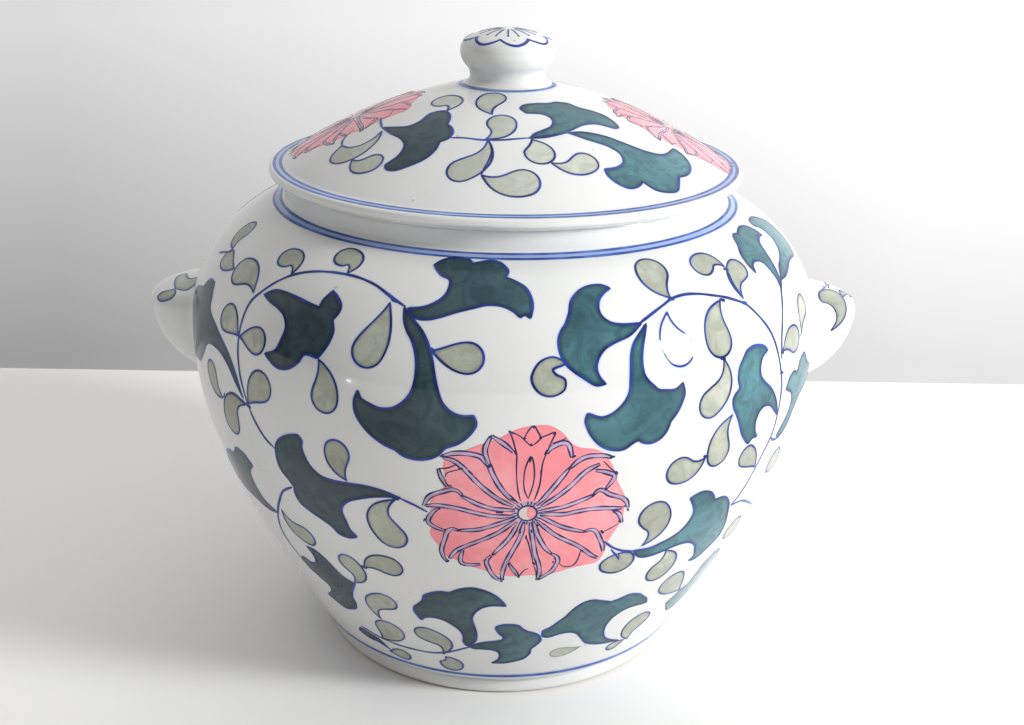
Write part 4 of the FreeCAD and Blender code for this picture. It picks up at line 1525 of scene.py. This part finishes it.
def main():
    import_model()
    porcelain = make_porcelain()
    body = make_piece("thrown_body", body_section(), "jar_body", "jar", porcelain)
    body.data.materials.append(make_biscuit())
    for face in body.data.polygons:
        if face.center.z < 0.6 * MM:
            face.material_index = 1
    make_piece("domed_lid", lid_section(), "lid", "cover", porcelain)
    make_piece("locating_ring", flange_section(), "lid_flange", "cover", porcelain)
    make_piece("waisted_knob", knob_section(), "lid_knob", "cover", porcelain, 160)
    surfaces = {}
    for name, side in (("left_lug", -1), ("right_lug", 1)):
        points, faces = make_lug(side)
        lug = make_mesh(name + "_corbel", points, faces)
        fix_normals(lug)
        lug.data.materials.append(porcelain)
        centre = (LUG_CENTRE[0] * side, *LUG_CENTRE[1:])
        surfaces[side] = Seen(points, faces, centre)
        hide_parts(name)
        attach(lug, "jar")

    materials = {
        # The leaves' wash is darker and greyer on the jar's left, which is painted shade, and brighter
        # teal on its right, which is painted light
        "leaves": make_wash(
            "green_wash_shaded_and_lit",
            ("#2b373e", "#41575f", "#52656b"),
            ("#2b4f57", "#4a757e", "#629099"),
            1.6,
        ),
        "buds": make_wash("sage_wash", ("#92958a", "#aeb1a4", "#c6c9bc"), (), 1.2),
        "pale": make_wash("thin_sage_wash", ("#a9aca2", "#c0c3b8", "#d3d5cb"), (), 1.0),
        "rose": make_wash("rose_wash", ("#f1929b", "#f69fa7", "#f9b2b8"), (), 0.8),
        "lines": make_line("cobalt_line", "#293772", "#415baf"),
        "rings": make_line("cobalt_ring", "#3f5da6", "#6484c9"),
        "ink": make_line("cobalt_on_rose", "#2d2f5c", "#454680"),
        "halo": make_halo("cobalt_halo", "#a1b2e3", 0.75),
        "bands": make_halo("cobalt_band", "#a3b6e0", 1.0),
        "veins": make_line("violet_vein", "#b7a5c2", "#d3bbce"),
        "bare": make_line("flower_eye", "#d8cfc5", "#dfd8d0"),
    }
    wall = Wall()
    dome_top = arcs((0, LID_APEX_Z), 90, DOME)
    brim = (LID_R - LID_EDGE_ROUND, BRIM_Z - BRIM_RISE * (1 - LID_EDGE_ROUND / LID_OVERHANG))
    dome = Plan(dome_top + path(dome_top[-1], brim, step=0.6)[1:])
    knob_top = Plan([p for p in knob_section() if p[1] > LID_APEX_Z + 10.5])
    jar, cover = Brush(), Brush()
    for turn in (0, 180):
        paint_wall(jar, wall, turn)
    for half in (1, -1):
        paint_lid(cover, dome, half)
    for centre in LID_FLOWERS:
        paint_flower(cover, dome, centre, 1.0, LID_FLOWER_R)
    paint_lug(jar, surfaces[-1], LEFT_LUG_BUDS)
    paint_lug(jar, surfaces[1], RIGHT_LUG_BUDS, RIGHT_LUG_STROKES)
    paint_knob(cover, knob_top)
    paint_bands(jar, cover, wall, dome)
    jar.build("jar", materials)
    cover.build("cover", materials)

    make_stage()


# The stage, the lights and the camera


def make_plain(name, corners, colour, roughness):
    nodes = Nodes(name + "_paint")
    cloud = nodes.spread(nodes.noise(9, 2), 0.3, 0.7, 0.0, 0.4)
    darker = (*[c * 0.97 for c in colour[:3]], 1)
    tone = nodes.mix(cloud, colour, darker)
    nodes.link(tone, "Base Color")
    nodes.shader.inputs["Roughness"].default_value = roughness
    nodes.shader.inputs["Specular IOR Level"].default_value = 0.2
    sheet = make_mesh(name, corners, [(0, 1, 2, 3)])
    sheet.data.materials.append(nodes.material)


def make_lamp(name, at, aim, size, power, colour=(1, 1, 1)):
    data = bpy.data.lights.new(name, "AREA")
    data.shape = "RECTANGLE"
    data.size, data.size_y = (side * MM for side in size)
    data.energy = power
    data.color = colour
    lamp = bpy.data.objects.new(name, data)
    bpy.context.scene.collection.objects.link(lamp)
    lamp.location = Vector(at) * MM
    lamp.rotation_euler = (Vector(aim) - Vector(at)).to_track_quat("-Z", "Y").to_euler()


def light_room(tree):
    """Soft daylight from the right and from above, and a pale wall beyond the table.

    The wall is part of the surroundings, so that it hides nothing from a camera behind the jar.
    """
    way = tree.nodes.new("ShaderNodeTexCoord").outputs["Generated"]
    split = tree.nodes.new("ShaderNodeSeparateXYZ")
    tree.links.new(way, split.inputs[0])

    def spread(axis, low, high, to_low, to_high):
        node = tree.nodes.new("ShaderNodeMapRange")
        tree.links.new(split.outputs[axis], node.inputs["Value"])
        for name, value in zip(("From Min", "From Max", "To Min", "To Max"), (low, high, to_low, to_high)):
            node.inputs[name].default_value = value
        return node.outputs[0]

    def join(first, second, operation):
        node = tree.nodes.new("ShaderNodeMath")
        node.operation = operation
        tree.links.new(first, node.inputs[0])
        tree.links.new(second, node.inputs[1])
        return node.outputs[0]

    sky = join(spread("X", 0, 1, 0, ROOM_RIGHT), spread("Z", 0, 1, 0, ROOM_ABOVE), "ADD")
    wall = join(spread("X", *WALL_BY_X), spread("Z", *WALL_BY_Z), "ADD")
    share = join(spread("Y", 0, WALL_FROM_Y, 0, 1), spread("Z", 0, LEVEL_TO_Z, 1, 0), "MAXIMUM")
    mix = tree.nodes.new("ShaderNodeMix")
    for value, socket in ((share, 0), (sky, 2), (wall, 3)):
        tree.links.new(value, mix.inputs[socket])
    tree.nodes["Background"].inputs["Color"].default_value = (1.0, 1.0, 1.0, 1.0)
    tree.links.new(mix.outputs[0], tree.nodes["Background"].inputs["Strength"])


def make_stage():
    side, near, deep = TABLE_HALF_WIDTH, TABLE_FRONT, TABLE_BACK
    corners = [(-side, near, 0), (side, near, 0), (side, deep, 0), (-side, deep, 0)]
    make_plain("table_top", corners, TABLE_COLOUR, TABLE_ROUGHNESS)
    world = bpy.data.worlds.new("room")
    world.use_nodes = True
    light_room(world.node_tree)
    scene = bpy.context.scene
    scene.world = world
    make_lamp("window_light", **WINDOW)
    make_lamp("far_window", **FAR_WINDOW)
    scene.view_settings.view_transform = "Standard"
    scene.view_settings.gamma = PICTURE_GAMMA
    data = bpy.data.cameras.new("photo_camera")
    data.lens = LENS
    data.sensor_width = SENSOR
    data.clip_start = 0.02
    camera = bpy.data.objects.new("photo_camera", data)
    scene.collection.objects.link(camera)
    camera.matrix_world = Matrix.Translation(Vector(CAMERA_AT) * MM) @ camera_turn().to_4x4()
    scene.camera = camera


main()
